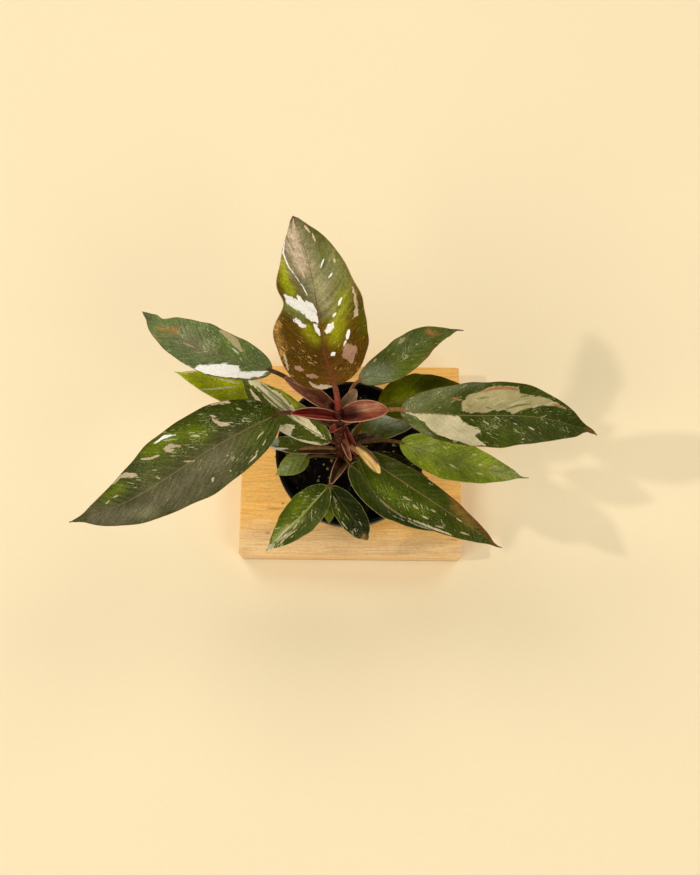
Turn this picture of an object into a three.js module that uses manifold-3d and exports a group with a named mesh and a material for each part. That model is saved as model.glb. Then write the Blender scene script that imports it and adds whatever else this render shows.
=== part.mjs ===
// Potted philodendron with variegated leaves, in a black nursery pot on a square wooden board.
// Millimetres, +Z up. The origin is the centre of the board's underside, the front is -Y.

import * as THREE from 'three';
import { mergeVertices } from 'three/addons/utils/BufferGeometryUtils.js';
import Module from 'manifold-3d';

const wasm = await Module();
wasm.setup();

// Board
const BOARD_WIDTH = 190;
const BOARD_DEPTH = 169;
const BOARD_THICKNESS = 30;
const BOARD_CORNER_RADIUS = 2;
const BOARD_EDGE_EASE = 1;

// Nursery pot, a standard 4.5 inch size
const POT_CENTRE_X = -1;
const POT_CENTRE_Y = -17;
const POT_RIM_RADIUS = 57.3;
const POT_BASE_RADIUS = 40;
const POT_HEIGHT = 97;
const POT_WALL = 1.4;
const POT_LIP_HEIGHT = 9;
const POT_LIP_STEP = 1;
const POT_FOOT_HEIGHT = 2.5;
const POT_FOOT_WIDTH = 5;
const POT_EDGE_EASE = 0.7;
const POT_SIDES = 48;
const DRAIN_HOLE_COUNT = 6;
const DRAIN_HOLE_RADIUS = 4;
const DRAIN_HOLE_RING = 27;

// Potting mix
const SOIL_BELOW_RIM = 10;
const SOIL_RELIEF = 1.6;
const SOIL_RINGS = 7;
const SOIL_SPOKES = 28;
const SOIL_WALL_SLACK = 0.3;
const CLEARANCE = 0.3;

// Main stem: points up its middle, from inside the soil to the crown, with the radius at each
const STEM_LINE = [
  { at: [-4, -27.5, 104], radius: 6.4 },
  { at: [-4.6, -25, 120], radius: 6.2 },
  { at: [-6.6, -17, 148], radius: 5.6 },
  { at: [-8.4, -8, 170], radius: 5 },
  { at: [-9.4, -3, 185], radius: 4 },
  { at: [-9.8, -0.5, 192], radius: 2.6 },
];
const STEM_SIDES = 10;
const STEM_SCAR_HEIGHT = 0.5;

// Front shoot, a side branch of the main stem
const SHOOT_LINE = [
  { at: [-6, -21, 130], radius: 3 },
  { at: [-9, -32, 137], radius: 2.8 },
  { at: [-13, -42, 143], radius: 2.4 },
  { at: [-16.5, -48, 149], radius: 2 },
];

const STEM_STEPS = 18;

// Blades and petioles
const BLADE_THICKNESS = 0.8;
const SHEATH_THICKNESS = 0.8;
const MIN_HALF_WIDTH = 0.5;
const FULL_FOLD_HALF_WIDTH = 3;
const TIP_ROUNDING = 1.75;
const RIPPLE_LAG = 0.9;
const LOBE_SHARPNESS = 6;
const END_CROWDING = 0.55;
const PETIOLE_SWELL = 1.35;
const PETIOLE_CLIMB_SHARE = 0.35;
const PETIOLE_LEVEL_SHARE = 0.3;
const MIDRIB_START_SHARE = 0.85;
const MIDRIB_TIP_RADIUS = 0.55;
const MIDRIB_TAPER = 0.7;
const MIDRIB_SINK = 0.65;

const POT_BOTTOM = BOARD_THICKNESS + CLEARANCE;
const POT_TOP = POT_BOTTOM + POT_HEIGHT;
const SOIL_TOP = POT_TOP - SOIL_BELOW_RIM;

const COLOURS = {
  wood: 0xdda45c,
  plastic: 0x14130f,
  soil: 0x1d1812,
  maroon: 0x5a1e22,
  olive: 0x5b5a22,
  darkGreen: 0x2f4a1e,
  blueGreen: 0x33513a,
  lime: 0x6f9a2c,
  bronze: 0x6a5a1c,
  cream: 0xcfc9a0,
  pink: 0xb0605a,
  brown: 0x6b4a2c,
  tan: 0xc8a050,
};

function vector(list) {
  return new THREE.Vector3(list[0], list[1], list[2]);
}

function solidOf(geometry) {
  const bare = geometry.clone();
  for (const name of Object.keys(bare.attributes)) {
    if (name !== 'position') bare.deleteAttribute(name);
  }
  const merged = mergeVertices(bare, 1e-4);
  return new wasm.Manifold(new wasm.Mesh({
    numProp: 3,
    vertProperties: new Float32Array(merged.attributes.position.array),
    triVerts: new Uint32Array(merged.index.array),
  }));
}

function geometryOf(solid) {
  const mesh = solid.getMesh();
  const geometry = new THREE.BufferGeometry();
  geometry.setAttribute('position', new THREE.BufferAttribute(new Float32Array(mesh.vertProperties), 3));
  geometry.setIndex(new THREE.BufferAttribute(new Uint32Array(mesh.triVerts), 1));
  geometry.computeVertexNormals();
  return geometry;
}

// Keeps the biggest body of a solid that a cut may have left with loose scraps.
function biggestBody(solid) {
  const bodies = solid.decompose();
  bodies.sort((a, b) => b.volume() - a.volume());
  return bodies[0];
}

function indexedGeometry(points, triangles) {
  const geometry = new THREE.BufferGeometry();
  const coordinates = points.flatMap((p) => [p.x, p.y, p.z]);
  geometry.setAttribute('position', new THREE.Float32BufferAttribute(coordinates, 3));
  geometry.setIndex(triangles);
  return geometry;
}

// A round bar through the given points, with its own radius at each point and flat ends.
function taperedBar(points, radii, sides) {
  const vertices = [];
  const triangles = [];
  const last = points.length - 1;
  let across = null;
  for (let i = 0; i <= last; i += 1) {
    const ahead = points[Math.min(i + 1, last)];
    const behind = points[Math.max(i - 1, 0)];
    const along = ahead.clone().sub(behind).normalize();
    if (across === null) {
      const helper = Math.abs(along.z) < 0.9 ? new THREE.Vector3(0, 0, 1) : new THREE.Vector3(1, 0, 0);
      across = new THREE.Vector3().crossVectors(along, helper).normalize();
    }
    across.addScaledVector(along, -across.dot(along)).normalize();
    const third = new THREE.Vector3().crossVectors(along, across);
    for (let k = 0; k < sides; k += 1) {
      const angle = (2 * Math.PI * k) / sides;
      vertices.push(points[i].clone()
        .addScaledVector(across, radii[i] * Math.cos(angle))
        .addScaledVector(third, radii[i] * Math.sin(angle)));
    }
  }
  for (let i = 0; i < last; i += 1) {
    for (let k = 0; k < sides; k += 1) {
      const next = (k + 1) % sides;
      const a = i * sides + k;
      const b = i * sides + next;
      triangles.push(a, b, b + sides, a, b + sides, a + sides);
    }
  }
  const start = vertices.push(points[0].clone()) - 1;
  const end = vertices.push(points[last].clone()) - 1;
  for (let k = 0; k < sides; k += 1) {
    const next = (k + 1) % sides;
    triangles.push(start, next, k, end, last * sides + k, last * sides + next);
  }
  return indexedGeometry(vertices, triangles);
}

// How wide a leaf is at t, from 0 at its base to 1 at its tip: round at the base, drawn out at the tip.
function halfWidthShare(t, widestAt, tipPower) {
  if (t < widestAt) {
    const u = 1 - t / widestAt;
    return Math.sqrt(Math.max(0, 1 - u * u));
  }
  const u = (t - widestAt) / (1 - widestAt);
  return Math.pow(Math.max(0, 1 - Math.pow(u, TIP_ROUNDING)), tipPower);
}

const LEAF_DEFAULTS = {
  widestAt: 0.36,
  tipPower: 1.1,
  arch: 8,
  sway: 0,
  swerve: 0,
  roll: 0,
  fold: 12,
  wave: 1.2,
  waves: 2,
  lobe: 2,
  lean: 0,
  notches: [],
  rows: 12,
  columns: 3,
  thickness: BLADE_THICKNESS,
  stem: 'main',
  petiole: 1.8,
  petioleSteps: 6,
  petioleSides: 6,
  climb: 45,
};

// The middle surface of a blade as a function of t along it and v across it, from -1 to 1.
function bladeSurface(leaf) {
  const base = vector(leaf.base);
  const tip = vector(leaf.tip);
  const along = tip.clone().sub(base);
  const length = along.length();
  along.normalize();
  const right = new THREE.Vector3().crossVectors(along, new THREE.Vector3(0, 0, 1)).normalize();
  const lift = new THREE.Vector3().crossVectors(right, along);
  const roll = THREE.MathUtils.degToRad(leaf.roll);
  const fold = THREE.MathUtils.degToRad(leaf.fold);

  const midrib = (t) => base.clone()
    .addScaledVector(along, length * t)
    .addScaledVector(lift, leaf.arch * Math.sin(Math.PI * t))
    .addScaledVector(right, leaf.sway * Math.sin(Math.PI * t) + leaf.swerve * Math.sin(2 * Math.PI * t));

  const frameAt = (t) => {
    const step = 0.01;
    const tangent = midrib(t + step).sub(midrib(t - step)).normalize();
    const side = right.clone().multiplyScalar(Math.cos(roll)).addScaledVector(lift, Math.sin(roll));
    side.addScaledVector(tangent, -side.dot(tangent)).normalize();
    const up = new THREE.Vector3().crossVectors(side, tangent);
    return { tangent, side, up };
  };

  const surface = (t, v) => {
    const { tangent, side, up } = frameAt(t);
    const reach = Math.abs(v);
    const hand = v < 0 ? -1 : 1;
    let half = 0.5 * leaf.width * halfWidthShare(t, leaf.widestAt, leaf.tipPower) * (1 + hand * leaf.lean);
    for (const notch of leaf.notches) {
      const away = (t - notch.at) / notch.spread;
      if (notch.hand === hand) half *= 1 - notch.depth * Math.exp(-away * away);
    }
    half = Math.max(half, MIN_HALF_WIDTH);
    const rippleTurn = 2 * Math.PI * leaf.waves * t + (hand > 0 ? RIPPLE_LAG : 0);
    const ripple = leaf.wave * reach * reach * Math.sin(rippleTurn) * Math.sin(Math.PI * t);
    const foldHere = fold * Math.min(1, half / FULL_FOLD_HALF_WIDTH);
    const rise = reach * half * Math.sin(foldHere) + ripple;
    const back = -leaf.lobe * reach * reach * Math.pow(1 - t, LOBE_SHARPNESS);
    return midrib(t)
      .addScaledVector(side, hand * reach * half * Math.cos(foldHere))
      .addScaledVector(up, rise)
      .addScaledVector(tangent, back);
  };
  return { midrib, frameAt, surface };
}

// Rows lie closer together near the base and the tip, where the outline turns fastest.
function rowPlace(share) {
  return THREE.MathUtils.lerp(share, 0.5 - 0.5 * Math.cos(Math.PI * share), END_CROWDING);
}

function bladeGeometry(leaf) {
  const { surface } = bladeSurface(leaf);
  const { rows, columns, thickness } = leaf;
  const across = 2 * columns + 1;
  const top = [];
  const bottom = [];
  for (let i = 0; i <= rows; i += 1) {
    const t = rowPlace(i / rows);
    for (let j = -columns; j <= columns; j += 1) {
      const v = j / columns;
      const here = surface(t, v);
      const tNear = THREE.MathUtils.clamp(t, 0.03, 0.97);
      const forward = surface(tNear + 0.02, v * 0.999).sub(surface(tNear - 0.02, v * 0.999));
      const outward = surface(tNear, Math.min(v + 0.1, 1)).sub(surface(tNear, Math.max(v - 0.1, -1)));
      const normal = new THREE.Vector3().crossVectors(outward, forward).normalize();
      top.push(here.clone().addScaledVector(normal, thickness / 2));
      bottom.push(here.clone().addScaledVector(normal, -thickness / 2));
    }
  }
  const count = top.length;
  const triangles = [];
  for (let i = 0; i < rows; i += 1) {
    for (let j = 0; j < across - 1; j += 1) {
      const a = i * across + j;
      const b = a + 1;
      const c = b + across;
      const d = a + across;
      // both halves are split towards the midrib, the same way on both faces
      const split = j < columns ? [[a, b, c], [a, c, d]] : [[a, b, d], [b, c, d]];
      for (const [p, q, r] of split) {
        triangles.push(p, q, r, count + p, count + r, count + q);
      }
    }
  }
  const wall = (p, q) => triangles.push(p, count + p, count + q, p, count + q, q);
  for (let j = 0; j < across - 1; j += 1) {
    wall(j, j + 1);
    wall(rows * across + j + 1, rows * across + j);
  }
  for (let i = 0; i < rows; i += 1) {
    wall((i + 1) * across, i * across);
    wall(i * across + across - 1, (i + 1) * across + across - 1);
  }
  return indexedGeometry([...top, ...bottom], triangles);
}

// The point up the middle of a stem at a given height.
function stemPointAt(line, height) {
  for (let i = 0; i < line.length - 1; i += 1) {
    const low = vector(line[i].at);
    const high = vector(line[i + 1].at);
    if (height <= high.z || i === line.length - 2) {
      return low.lerp(high, THREE.MathUtils.clamp((height - low.z) / (high.z - low.z), 0, 1));
    }
  }
  return vector(line[0].at);
}

function stemSolid(line, extra) {
  const middle = line.map((ring) => vector(ring.at));
  middle[0].z -= extra;
  const curve = new THREE.CatmullRomCurve3(middle);
  const radiusAt = (height) => {
    const upper = Math.max(1, line.findIndex((ring) => ring.at[2] >= height));
    const low = line[upper - 1];
    const high = line[upper];
    const share = THREE.MathUtils.clamp((height - low.at[2]) / (high.at[2] - low.at[2]), 0, 1);
    return THREE.MathUtils.lerp(low.radius, high.radius, share);
  };
  const points = curve.getSpacedPoints(STEM_STEPS);
  const radii = points.map((point, i) => {
    const scar = i % 3 === 1 && extra === 0 ? STEM_SCAR_HEIGHT : 0;
    return radiusAt(point.z) + extra - scar;
  });
  return solidOf(taperedBar(points, radii, STEM_SIDES));
}

// The petiole climbs out of the stem, levels off at the blade and runs on under it as the midrib.
function petioleLine(leaf) {
  const stem = leaf.stem === 'shoot' ? SHOOT_LINE : STEM_LINE;
  const root = stemPointAt(stem, leaf.rootHeight);
  const base = vector(leaf.base);
  const { frameAt } = bladeSurface(leaf);
  const reach = base.distanceTo(root);
  const out = base.clone().sub(root).setZ(0).normalize();
  const climb = THREE.MathUtils.degToRad(leaf.climb);
  const first = root.clone().addScaledVector(out, reach * PETIOLE_CLIMB_SHARE * Math.cos(climb));
  first.z += reach * PETIOLE_CLIMB_SHARE * Math.sin(climb);
  const second = base.clone().addScaledVector(frameAt(0).tangent, -reach * PETIOLE_LEVEL_SHARE);
  return new THREE.CubicBezierCurve3(root, first, second, base);
}

function petioleBar(leaf, extra, withMidrib) {
  const { midrib, frameAt } = bladeSurface(leaf);
  const points = petioleLine(leaf).getSpacedPoints(leaf.petioleSteps);
  const radii = points.map((point, i) => {
    const share = i / leaf.petioleSteps;
    return leaf.petiole * THREE.MathUtils.lerp(PETIOLE_SWELL, 1, share) + extra;
  });
  if (withMidrib) {
    for (let row = 1; row < leaf.rows; row += 1) {
      const t = rowPlace(row / leaf.rows);
      const taper = Math.pow(t, MIDRIB_TAPER);
      const radius = THREE.MathUtils.lerp(leaf.petiole * MIDRIB_START_SHARE, MIDRIB_TIP_RADIUS, taper);
      points.push(midrib(t).addScaledVector(frameAt(t).up, -radius * MIDRIB_SINK));
      radii.push(radius);
    }
  }
  return solidOf(taperedBar(points, radii, leaf.petioleSides));
}

const LARGE = { rows: 13, columns: 3, petiole: 1.6 };
const SMALL = { rows: 8, columns: 2, petiole: 1.1, petioleSides: 5, petioleSteps: 4, wave: 0.6 };

// Each leaf: where its blade starts and ends, its width, and how it bends.
const LEAVES = {
  leaf_back_centre: {
    ...LARGE, colour: COLOURS.bronze, base: [-12, 13, 205], tip: [-40, 109, 272], width: 66, petiole: 1.9,
    rootHeight: 182, climb: 75, arch: 9, sway: 0.5, swerve: -2, fold: 16, tipPower: 0.8, wave: 1.6, lobe: 0,
    notches: [{ hand: -1, at: 0.55, depth: 0.22, spread: 0.07 }],
  },
  leaf_back_left: {
    ...LARGE, colour: COLOURS.blueGreen, base: [-59, 27, 195], tip: [-154, 73, 188], width: 39,
    rootHeight: 174, arch: 7, sway: -8, fold: 10, roll: -14, widestAt: 0.42, tipPower: 0.9,
    notches: [{ hand: 1, at: 0.85, depth: 0.45, spread: 0.05 }],
  },
  leaf_lime_left: {
    ...SMALL, colour: COLOURS.lime, base: [-66, 15, 153], tip: [-132, 34, 167], width: 24,
    rootHeight: 148, climb: 20, arch: 3,
  },
  leaf_large_left: {
    ...LARGE, colour: COLOURS.darkGreen, base: [-54, -5, 190], tip: [-206, -77, 150], width: 60,
    rootHeight: 168, arch: 14, sway: -8, swerve: 3, fold: 10, widestAt: 0.34, tipPower: 1.15,
  },
  leaf_cream_striped: {
    ...SMALL, colour: COLOURS.cream, base: [-17, -15, 158], tip: [-83, 31, 166], width: 27,
    rootHeight: 150, arch: 4, sway: -4, rows: 10, widestAt: 0.5, tipPower: 0.9,
  },
  leaf_cream_edged: {
    ...SMALL, colour: COLOURS.cream, base: [-24, -17, 142], tip: [-71, -14, 143], width: 14,
    rootHeight: 132, arch: 2,
  },
  leaf_fresh_small: {
    ...SMALL, colour: COLOURS.lime, base: [-34, -25, 141], tip: [-57, -38, 140], width: 17,
    rootHeight: 130, climb: 30, arch: 2,
  },
  leaf_front_left_small: {
    ...SMALL, colour: COLOURS.darkGreen, base: [-18, -50, 151], tip: [-63, -94, 130], width: 28,
    stem: 'shoot', rootHeight: 144, climb: 60, arch: 3, sway: -1.5,
  },
  leaf_front_right_small: {
    ...SMALL, colour: COLOURS.darkGreen, base: [-14, -50, 150], tip: [13, -85, 132], width: 21,
    stem: 'shoot', rootHeight: 143, climb: 60, arch: 2, tipPower: 0.6, widestAt: 0.5,
  },
  leaf_front_tiny: {
    ...SMALL, colour: COLOURS.darkGreen, base: [-16, -54, 142], tip: [-16, -74, 134], width: 12,
    stem: 'shoot', rootHeight: 134, climb: 30, arch: 1.5,
  },
  leaf_front_right_large: {
    ...LARGE, colour: COLOURS.darkGreen, base: [8, -29, 172], tip: [112, -91, 140], width: 34,
    rootHeight: 158, arch: 6, fold: 17, roll: -17, sway: 1, lean: 0.25, widestAt: 0.36,
  },
  leaf_silver_edged: {
    ...SMALL, colour: COLOURS.blueGreen, base: [1, -33, 150], tip: [79, -79, 132], width: 34,
    rootHeight: 138, arch: 2, sway: 4, rows: 10,
  },
  leaf_lime_right: {
    ...LARGE, colour: COLOURS.lime, base: [38, -18, 163], tip: [132, -40, 150], width: 32,
    rootHeight: 148, arch: 5, sway: 4, widestAt: 0.38, petiole: 1.2,
  },
  leaf_large_right: {
    ...LARGE, colour: COLOURS.darkGreen, base: [37, 0, 190], tip: [177, -14, 178], width: 49,
    rootHeight: 172, arch: 10, sway: -2.5, swerve: 3, widestAt: 0.46, tipPower: 1,
  },
  leaf_olive_back_right: {
    ...SMALL, colour: COLOURS.olive, base: [22, 11, 163], tip: [88, 26, 162], width: 35, petiole: 1.6,
    rootHeight: 138, climb: 20, arch: 3,
  },
  leaf_back_right: {
    ...LARGE, colour: COLOURS.blueGreen, base: [7, 24, 185], tip: [82, 64, 180], width: 27,
    rootHeight: 164, arch: 5, sway: -2.5, swerve: 3, petiole: 1.2, widestAt: 0.42, tipPower: 1.4,
  },
  leaf_under_right: {
    ...SMALL, colour: COLOURS.darkGreen, base: [2, -7, 139], tip: [67, 14, 142], width: 22,
    rootHeight: 129, arch: 3,
  },
  leaf_dark_low_right: {
    ...SMALL, colour: COLOURS.darkGreen, base: [12, -26, 142], tip: [58, -39, 140], width: 21,
    rootHeight: 130, arch: 2,
  },
};

// The sheaths that wrapped the young leaves: boat-shaped scales on the stem, or dried straps.
const SHEATH = {
  rows: 6,
  columns: 2,
  thickness: SHEATH_THICKNESS,
  fold: 35,
  widestAt: 0.5,
  tipPower: 0.6,
  lobe: 0,
  wave: 0,
  arch: 3,
};
const SHEATHS = {
  sheath_pink_right: {
    ...SHEATH, colour: COLOURS.pink, base: [-8, -4, 184], tip: [26, -1, 192], width: 19,
  },
  sheath_red_left: {
    ...SHEATH, colour: COLOURS.maroon, base: [-8, -5, 182], tip: [-43, -4, 192], width: 13, fold: 50,
  },
  sheath_brown_back_left: {
    ...SHEATH, colour: COLOURS.brown, base: [-10, 0, 182], tip: [-48, 21, 197], width: 13, fold: 25,
  },
  sheath_small_back_right: {
    ...SHEATH, colour: COLOURS.brown, base: [-6.5, -2, 176], tip: [3, 15, 190], width: 10,
  },
  sheath_curled_front: {
    ...SHEATH, colour: COLOURS.pink, base: [-8, -8, 174], tip: [-16, -14, 178], width: 6,
  },
  sheath_strap_front: {
    ...SHEATH, colour: COLOURS.pink, base: [-7, -14, 158], tip: [0, -31, 160], width: 5,
  },
  sheath_maroon_front: {
    ...SHEATH, colour: COLOURS.maroon, base: [-5, -8, 170], tip: [4, -28, 163], width: 6,
  },
  sheath_tan_dry: {
    ...SHEATH, colour: COLOURS.tan, base: [4, -22, 171], tip: [21, -44, 178], width: 9,
    fold: 20, widestAt: 0.6, arch: 4,
  },
  sheath_olive_left: {
    ...SHEATH, colour: COLOURS.olive, base: [-9, -20, 146], tip: [-41, -22, 152], width: 8, arch: 2,
  },
  sheath_brown_right: {
    ...SHEATH, colour: COLOURS.brown, base: [-2, -15, 152], tip: [22, -13, 165], width: 8,
  },
  sheath_front_shoot: {
    ...SHEATH, colour: COLOURS.brown, base: [-5, -25, 132], tip: [-15, -47, 153], width: 13,
    fold: 40, widestAt: 0.3,
  },
};

function boardGeometry() {
  const halfWidth = BOARD_WIDTH / 2 - BOARD_EDGE_EASE;
  const halfDepth = BOARD_DEPTH / 2 - BOARD_EDGE_EASE;
  const radius = BOARD_CORNER_RADIUS;
  const shape = new THREE.Shape();
  shape.moveTo(-halfWidth + radius, -halfDepth);
  shape.lineTo(halfWidth - radius, -halfDepth);
  shape.absarc(halfWidth - radius, -halfDepth + radius, radius, -Math.PI / 2, 0);
  shape.lineTo(halfWidth, halfDepth - radius);
  shape.absarc(halfWidth - radius, halfDepth - radius, radius, 0, Math.PI / 2);
  shape.lineTo(-halfWidth + radius, halfDepth);
  shape.absarc(-halfWidth + radius, halfDepth - radius, radius, Math.PI / 2, Math.PI);
  shape.lineTo(-halfWidth, -halfDepth + radius);
  shape.absarc(-halfWidth + radius, -halfDepth + radius, radius, Math.PI, 1.5 * Math.PI);
  const geometry = new THREE.ExtrudeGeometry(shape, {
    depth: BOARD_THICKNESS - 2 * BOARD_EDGE_EASE,
    bevelEnabled: true,
    bevelThickness: BOARD_EDGE_EASE,
    bevelSize: BOARD_EDGE_EASE,
    bevelSegments: 1,
    curveSegments: 3,
  });
  return geometry.translate(0, 0, BOARD_EDGE_EASE);
}

// The pot's wall leans out evenly from base to rim.
function potRadiusAt(height) {
  const share = (height - POT_BOTTOM) / POT_HEIGHT;
  return THREE.MathUtils.lerp(POT_BASE_RADIUS, POT_RIM_RADIUS - POT_LIP_STEP, share);
}

function potSolid() {
  const lipBottom = POT_TOP - POT_LIP_HEIGHT;
  const floorTop = POT_BOTTOM + POT_FOOT_HEIGHT + POT_WALL;
  const profile = [
    [0, POT_BOTTOM + POT_FOOT_HEIGHT],
    [POT_BASE_RADIUS - POT_FOOT_WIDTH - POT_EDGE_EASE, POT_BOTTOM + POT_FOOT_HEIGHT],
    [POT_BASE_RADIUS - POT_FOOT_WIDTH, POT_BOTTOM],
    [POT_BASE_RADIUS - POT_EDGE_EASE, POT_BOTTOM],
    [potRadiusAt(POT_BOTTOM + POT_EDGE_EASE), POT_BOTTOM + POT_EDGE_EASE],
    [potRadiusAt(lipBottom), lipBottom],
    [POT_RIM_RADIUS, lipBottom + POT_EDGE_EASE],
    [POT_RIM_RADIUS, POT_TOP - POT_EDGE_EASE],
    [POT_RIM_RADIUS - POT_EDGE_EASE, POT_TOP],
    [potRadiusAt(POT_TOP) - POT_WALL, POT_TOP],
    [potRadiusAt(floorTop) - POT_WALL, floorTop],
    [0, floorTop],
  ].map(([radius, height]) => new THREE.Vector2(radius, height));
  let pot = solidOf(new THREE.LatheGeometry(profile, POT_SIDES).rotateX(Math.PI / 2));
  for (let i = 0; i < DRAIN_HOLE_COUNT; i += 1) {
    const angle = (2 * Math.PI * i) / DRAIN_HOLE_COUNT;
    const drill = new THREE.CylinderGeometry(DRAIN_HOLE_RADIUS, DRAIN_HOLE_RADIUS, 4 * POT_FOOT_HEIGHT, 12);
    drill.rotateX(Math.PI / 2);
    drill.translate(DRAIN_HOLE_RING * Math.cos(angle), DRAIN_HOLE_RING * Math.sin(angle), POT_BOTTOM);
    pot = pot.subtract(solidOf(drill));
  }
  return pot.translate([POT_CENTRE_X, POT_CENTRE_Y, 0]);
}

// Lumps of potting mix, as a height over the even surface.
function soilRelief(x, y) {
  const coarse = Math.sin(x * 0.21 + 1.3 * Math.sin(y * 0.13)) * Math.cos(y * 0.24 + 0.9 * Math.sin(x * 0.17));
  const fine = Math.sin(x * 0.55 + 2) * Math.sin(y * 0.61 + 1);
  return SOIL_RELIEF * (0.6 * coarse + 0.4 * fine);
}

function soilSolid() {
  const floor = POT_BOTTOM + POT_FOOT_HEIGHT + POT_WALL + CLEARANCE;
  const innerRadius = (height) => potRadiusAt(height) - POT_WALL - CLEARANCE - SOIL_WALL_SLACK;
  const vertices = [new THREE.Vector3(0, 0, SOIL_TOP + soilRelief(0, 0))];
  const triangles = [];
  for (let ring = 1; ring <= SOIL_RINGS; ring += 1) {
    for (let spoke = 0; spoke < SOIL_SPOKES; spoke += 1) {
      const angle = (2 * Math.PI * spoke) / SOIL_SPOKES;
      const radius = innerRadius(SOIL_TOP - SOIL_RELIEF) * (ring / SOIL_RINGS);
      const x = radius * Math.cos(angle);
      const y = radius * Math.sin(angle);
      const relief = ring === SOIL_RINGS ? -SOIL_RELIEF : soilRelief(x, y);
      vertices.push(new THREE.Vector3(x, y, SOIL_TOP + relief));
    }
  }
  for (let spoke = 0; spoke < SOIL_SPOKES; spoke += 1) {
    const angle = (2 * Math.PI * spoke) / SOIL_SPOKES;
    const radius = innerRadius(floor);
    vertices.push(new THREE.Vector3(radius * Math.cos(angle), radius * Math.sin(angle), floor));
  }
  const bottom = vertices.push(new THREE.Vector3(0, 0, floor)) - 1;
  for (let spoke = 0; spoke < SOIL_SPOKES; spoke += 1) {
    const next = (spoke + 1) % SOIL_SPOKES;
    triangles.push(0, 1 + spoke, 1 + next);
    for (let ring = 0; ring < SOIL_RINGS; ring += 1) {
      const a = 1 + ring * SOIL_SPOKES + spoke;
      const b = 1 + ring * SOIL_SPOKES + next;
      triangles.push(a, a + SOIL_SPOKES, b + SOIL_SPOKES, a, b + SOIL_SPOKES, b);
    }
    const rim = 1 + SOIL_RINGS * SOIL_SPOKES;
    triangles.push(rim + spoke, bottom, rim + next);
  }
  const mix = solidOf(indexedGeometry(vertices, triangles)).translate([POT_CENTRE_X, POT_CENTRE_Y, 0]);
  return mix.subtract(stemSolid(STEM_LINE, CLEARANCE));
}

const group = new THREE.Group();

function addNode(name, solid, colour, roughness, metalness) {
  if (solid.isEmpty()) throw new Error(`${name} is empty`);
  const material = new THREE.MeshStandardMaterial({ color: colour, roughness, metalness });
  const mesh = new THREE.Mesh(geometryOf(solid), material);
  mesh.name = name;
  group.add(mesh);
}

addNode('stand_board', solidOf(boardGeometry()), COLOURS.wood, 0.6, 0);
addNode('nursery_pot', potSolid(), COLOURS.plastic, 0.45, 0);
addNode('potting_soil', soilSolid(), COLOURS.soil, 0.95, 0);
addNode('main_stem', stemSolid(STEM_LINE, 0), COLOURS.maroon, 0.5, 0);
addNode('front_shoot_stem', biggestBody(stemSolid(SHOOT_LINE, 0).subtract(stemSolid(STEM_LINE, CLEARANCE))),
  COLOURS.brown, 0.5, 0);

// Every later piece is cut clear of the stems and of the petioles that are already placed.
const stemRoom = stemSolid(STEM_LINE, CLEARANCE).add(stemSolid(SHOOT_LINE, CLEARANCE));
const petioleRooms = [];

function seated(solid) {
  let result = solid.subtract(stemRoom);
  for (const room of petioleRooms) result = result.subtract(room);
  return biggestBody(result);
}

for (const [name, entry] of Object.entries(LEAVES)) {
  const leaf = { ...LEAF_DEFAULTS, ...entry };
  const solid = solidOf(bladeGeometry(leaf)).add(petioleBar(leaf, 0, true));
  addNode(name, seated(solid), leaf.colour, 0.4, 0);
  petioleRooms.push(petioleBar(leaf, CLEARANCE, false));
}
for (const [name, entry] of Object.entries(SHEATHS)) {
  const sheath = { ...LEAF_DEFAULTS, ...entry };
  addNode(name, seated(solidOf(bladeGeometry(sheath))), sheath.colour, 0.5, 0);
}

export default group;
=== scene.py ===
"""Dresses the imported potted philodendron: board, pot, potting mix, stems, leaves and sheaths."""
import math

import bpy
import numpy as np
from bpy.props import FloatProperty, FloatVectorProperty, IntProperty, PointerProperty
from mathutils import Matrix, Vector, noise


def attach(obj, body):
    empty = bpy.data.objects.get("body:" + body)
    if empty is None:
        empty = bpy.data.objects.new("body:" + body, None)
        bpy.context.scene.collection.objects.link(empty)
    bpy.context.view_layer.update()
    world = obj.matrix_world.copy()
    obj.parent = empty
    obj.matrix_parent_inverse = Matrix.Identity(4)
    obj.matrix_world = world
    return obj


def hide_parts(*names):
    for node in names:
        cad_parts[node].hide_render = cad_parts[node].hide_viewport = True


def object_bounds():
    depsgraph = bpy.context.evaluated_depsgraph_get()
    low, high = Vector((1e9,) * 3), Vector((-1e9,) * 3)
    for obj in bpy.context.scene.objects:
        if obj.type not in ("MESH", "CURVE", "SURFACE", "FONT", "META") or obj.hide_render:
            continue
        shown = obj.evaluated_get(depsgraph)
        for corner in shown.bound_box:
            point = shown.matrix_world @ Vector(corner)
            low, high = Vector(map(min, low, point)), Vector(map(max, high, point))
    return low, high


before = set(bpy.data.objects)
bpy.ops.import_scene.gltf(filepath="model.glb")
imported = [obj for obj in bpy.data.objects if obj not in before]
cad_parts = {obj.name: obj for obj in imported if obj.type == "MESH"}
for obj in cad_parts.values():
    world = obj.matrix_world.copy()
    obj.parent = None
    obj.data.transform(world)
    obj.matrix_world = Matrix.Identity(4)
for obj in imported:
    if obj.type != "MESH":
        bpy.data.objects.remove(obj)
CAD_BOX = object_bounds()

bl_info = {
    "name": "Potted Philodendron",
    "version": (1, 0, 0),
    "blender": (4, 5, 0),
    "location": "View3D > Sidebar > Philodendron",
    "description": "Builds a variegated philodendron in a nursery pot on a wooden board",
    "category": "Add Mesh",
}

MM = 0.001


def linear(red, green, blue):
    """A screen colour from 0 to 255 as the linear colour that the materials use."""
    shares = [c / 255 for c in (red, green, blue)]
    return tuple(c / 12.92 if c <= 0.04045 else ((c + 0.055) / 1.055) ** 2.4 for c in shares)


def paint(name, description, *screen_colour):
    return FloatVectorProperty(name=name, description=description, subtype="COLOR", size=3,
                               min=0, max=1, default=linear(*screen_colour))


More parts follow.
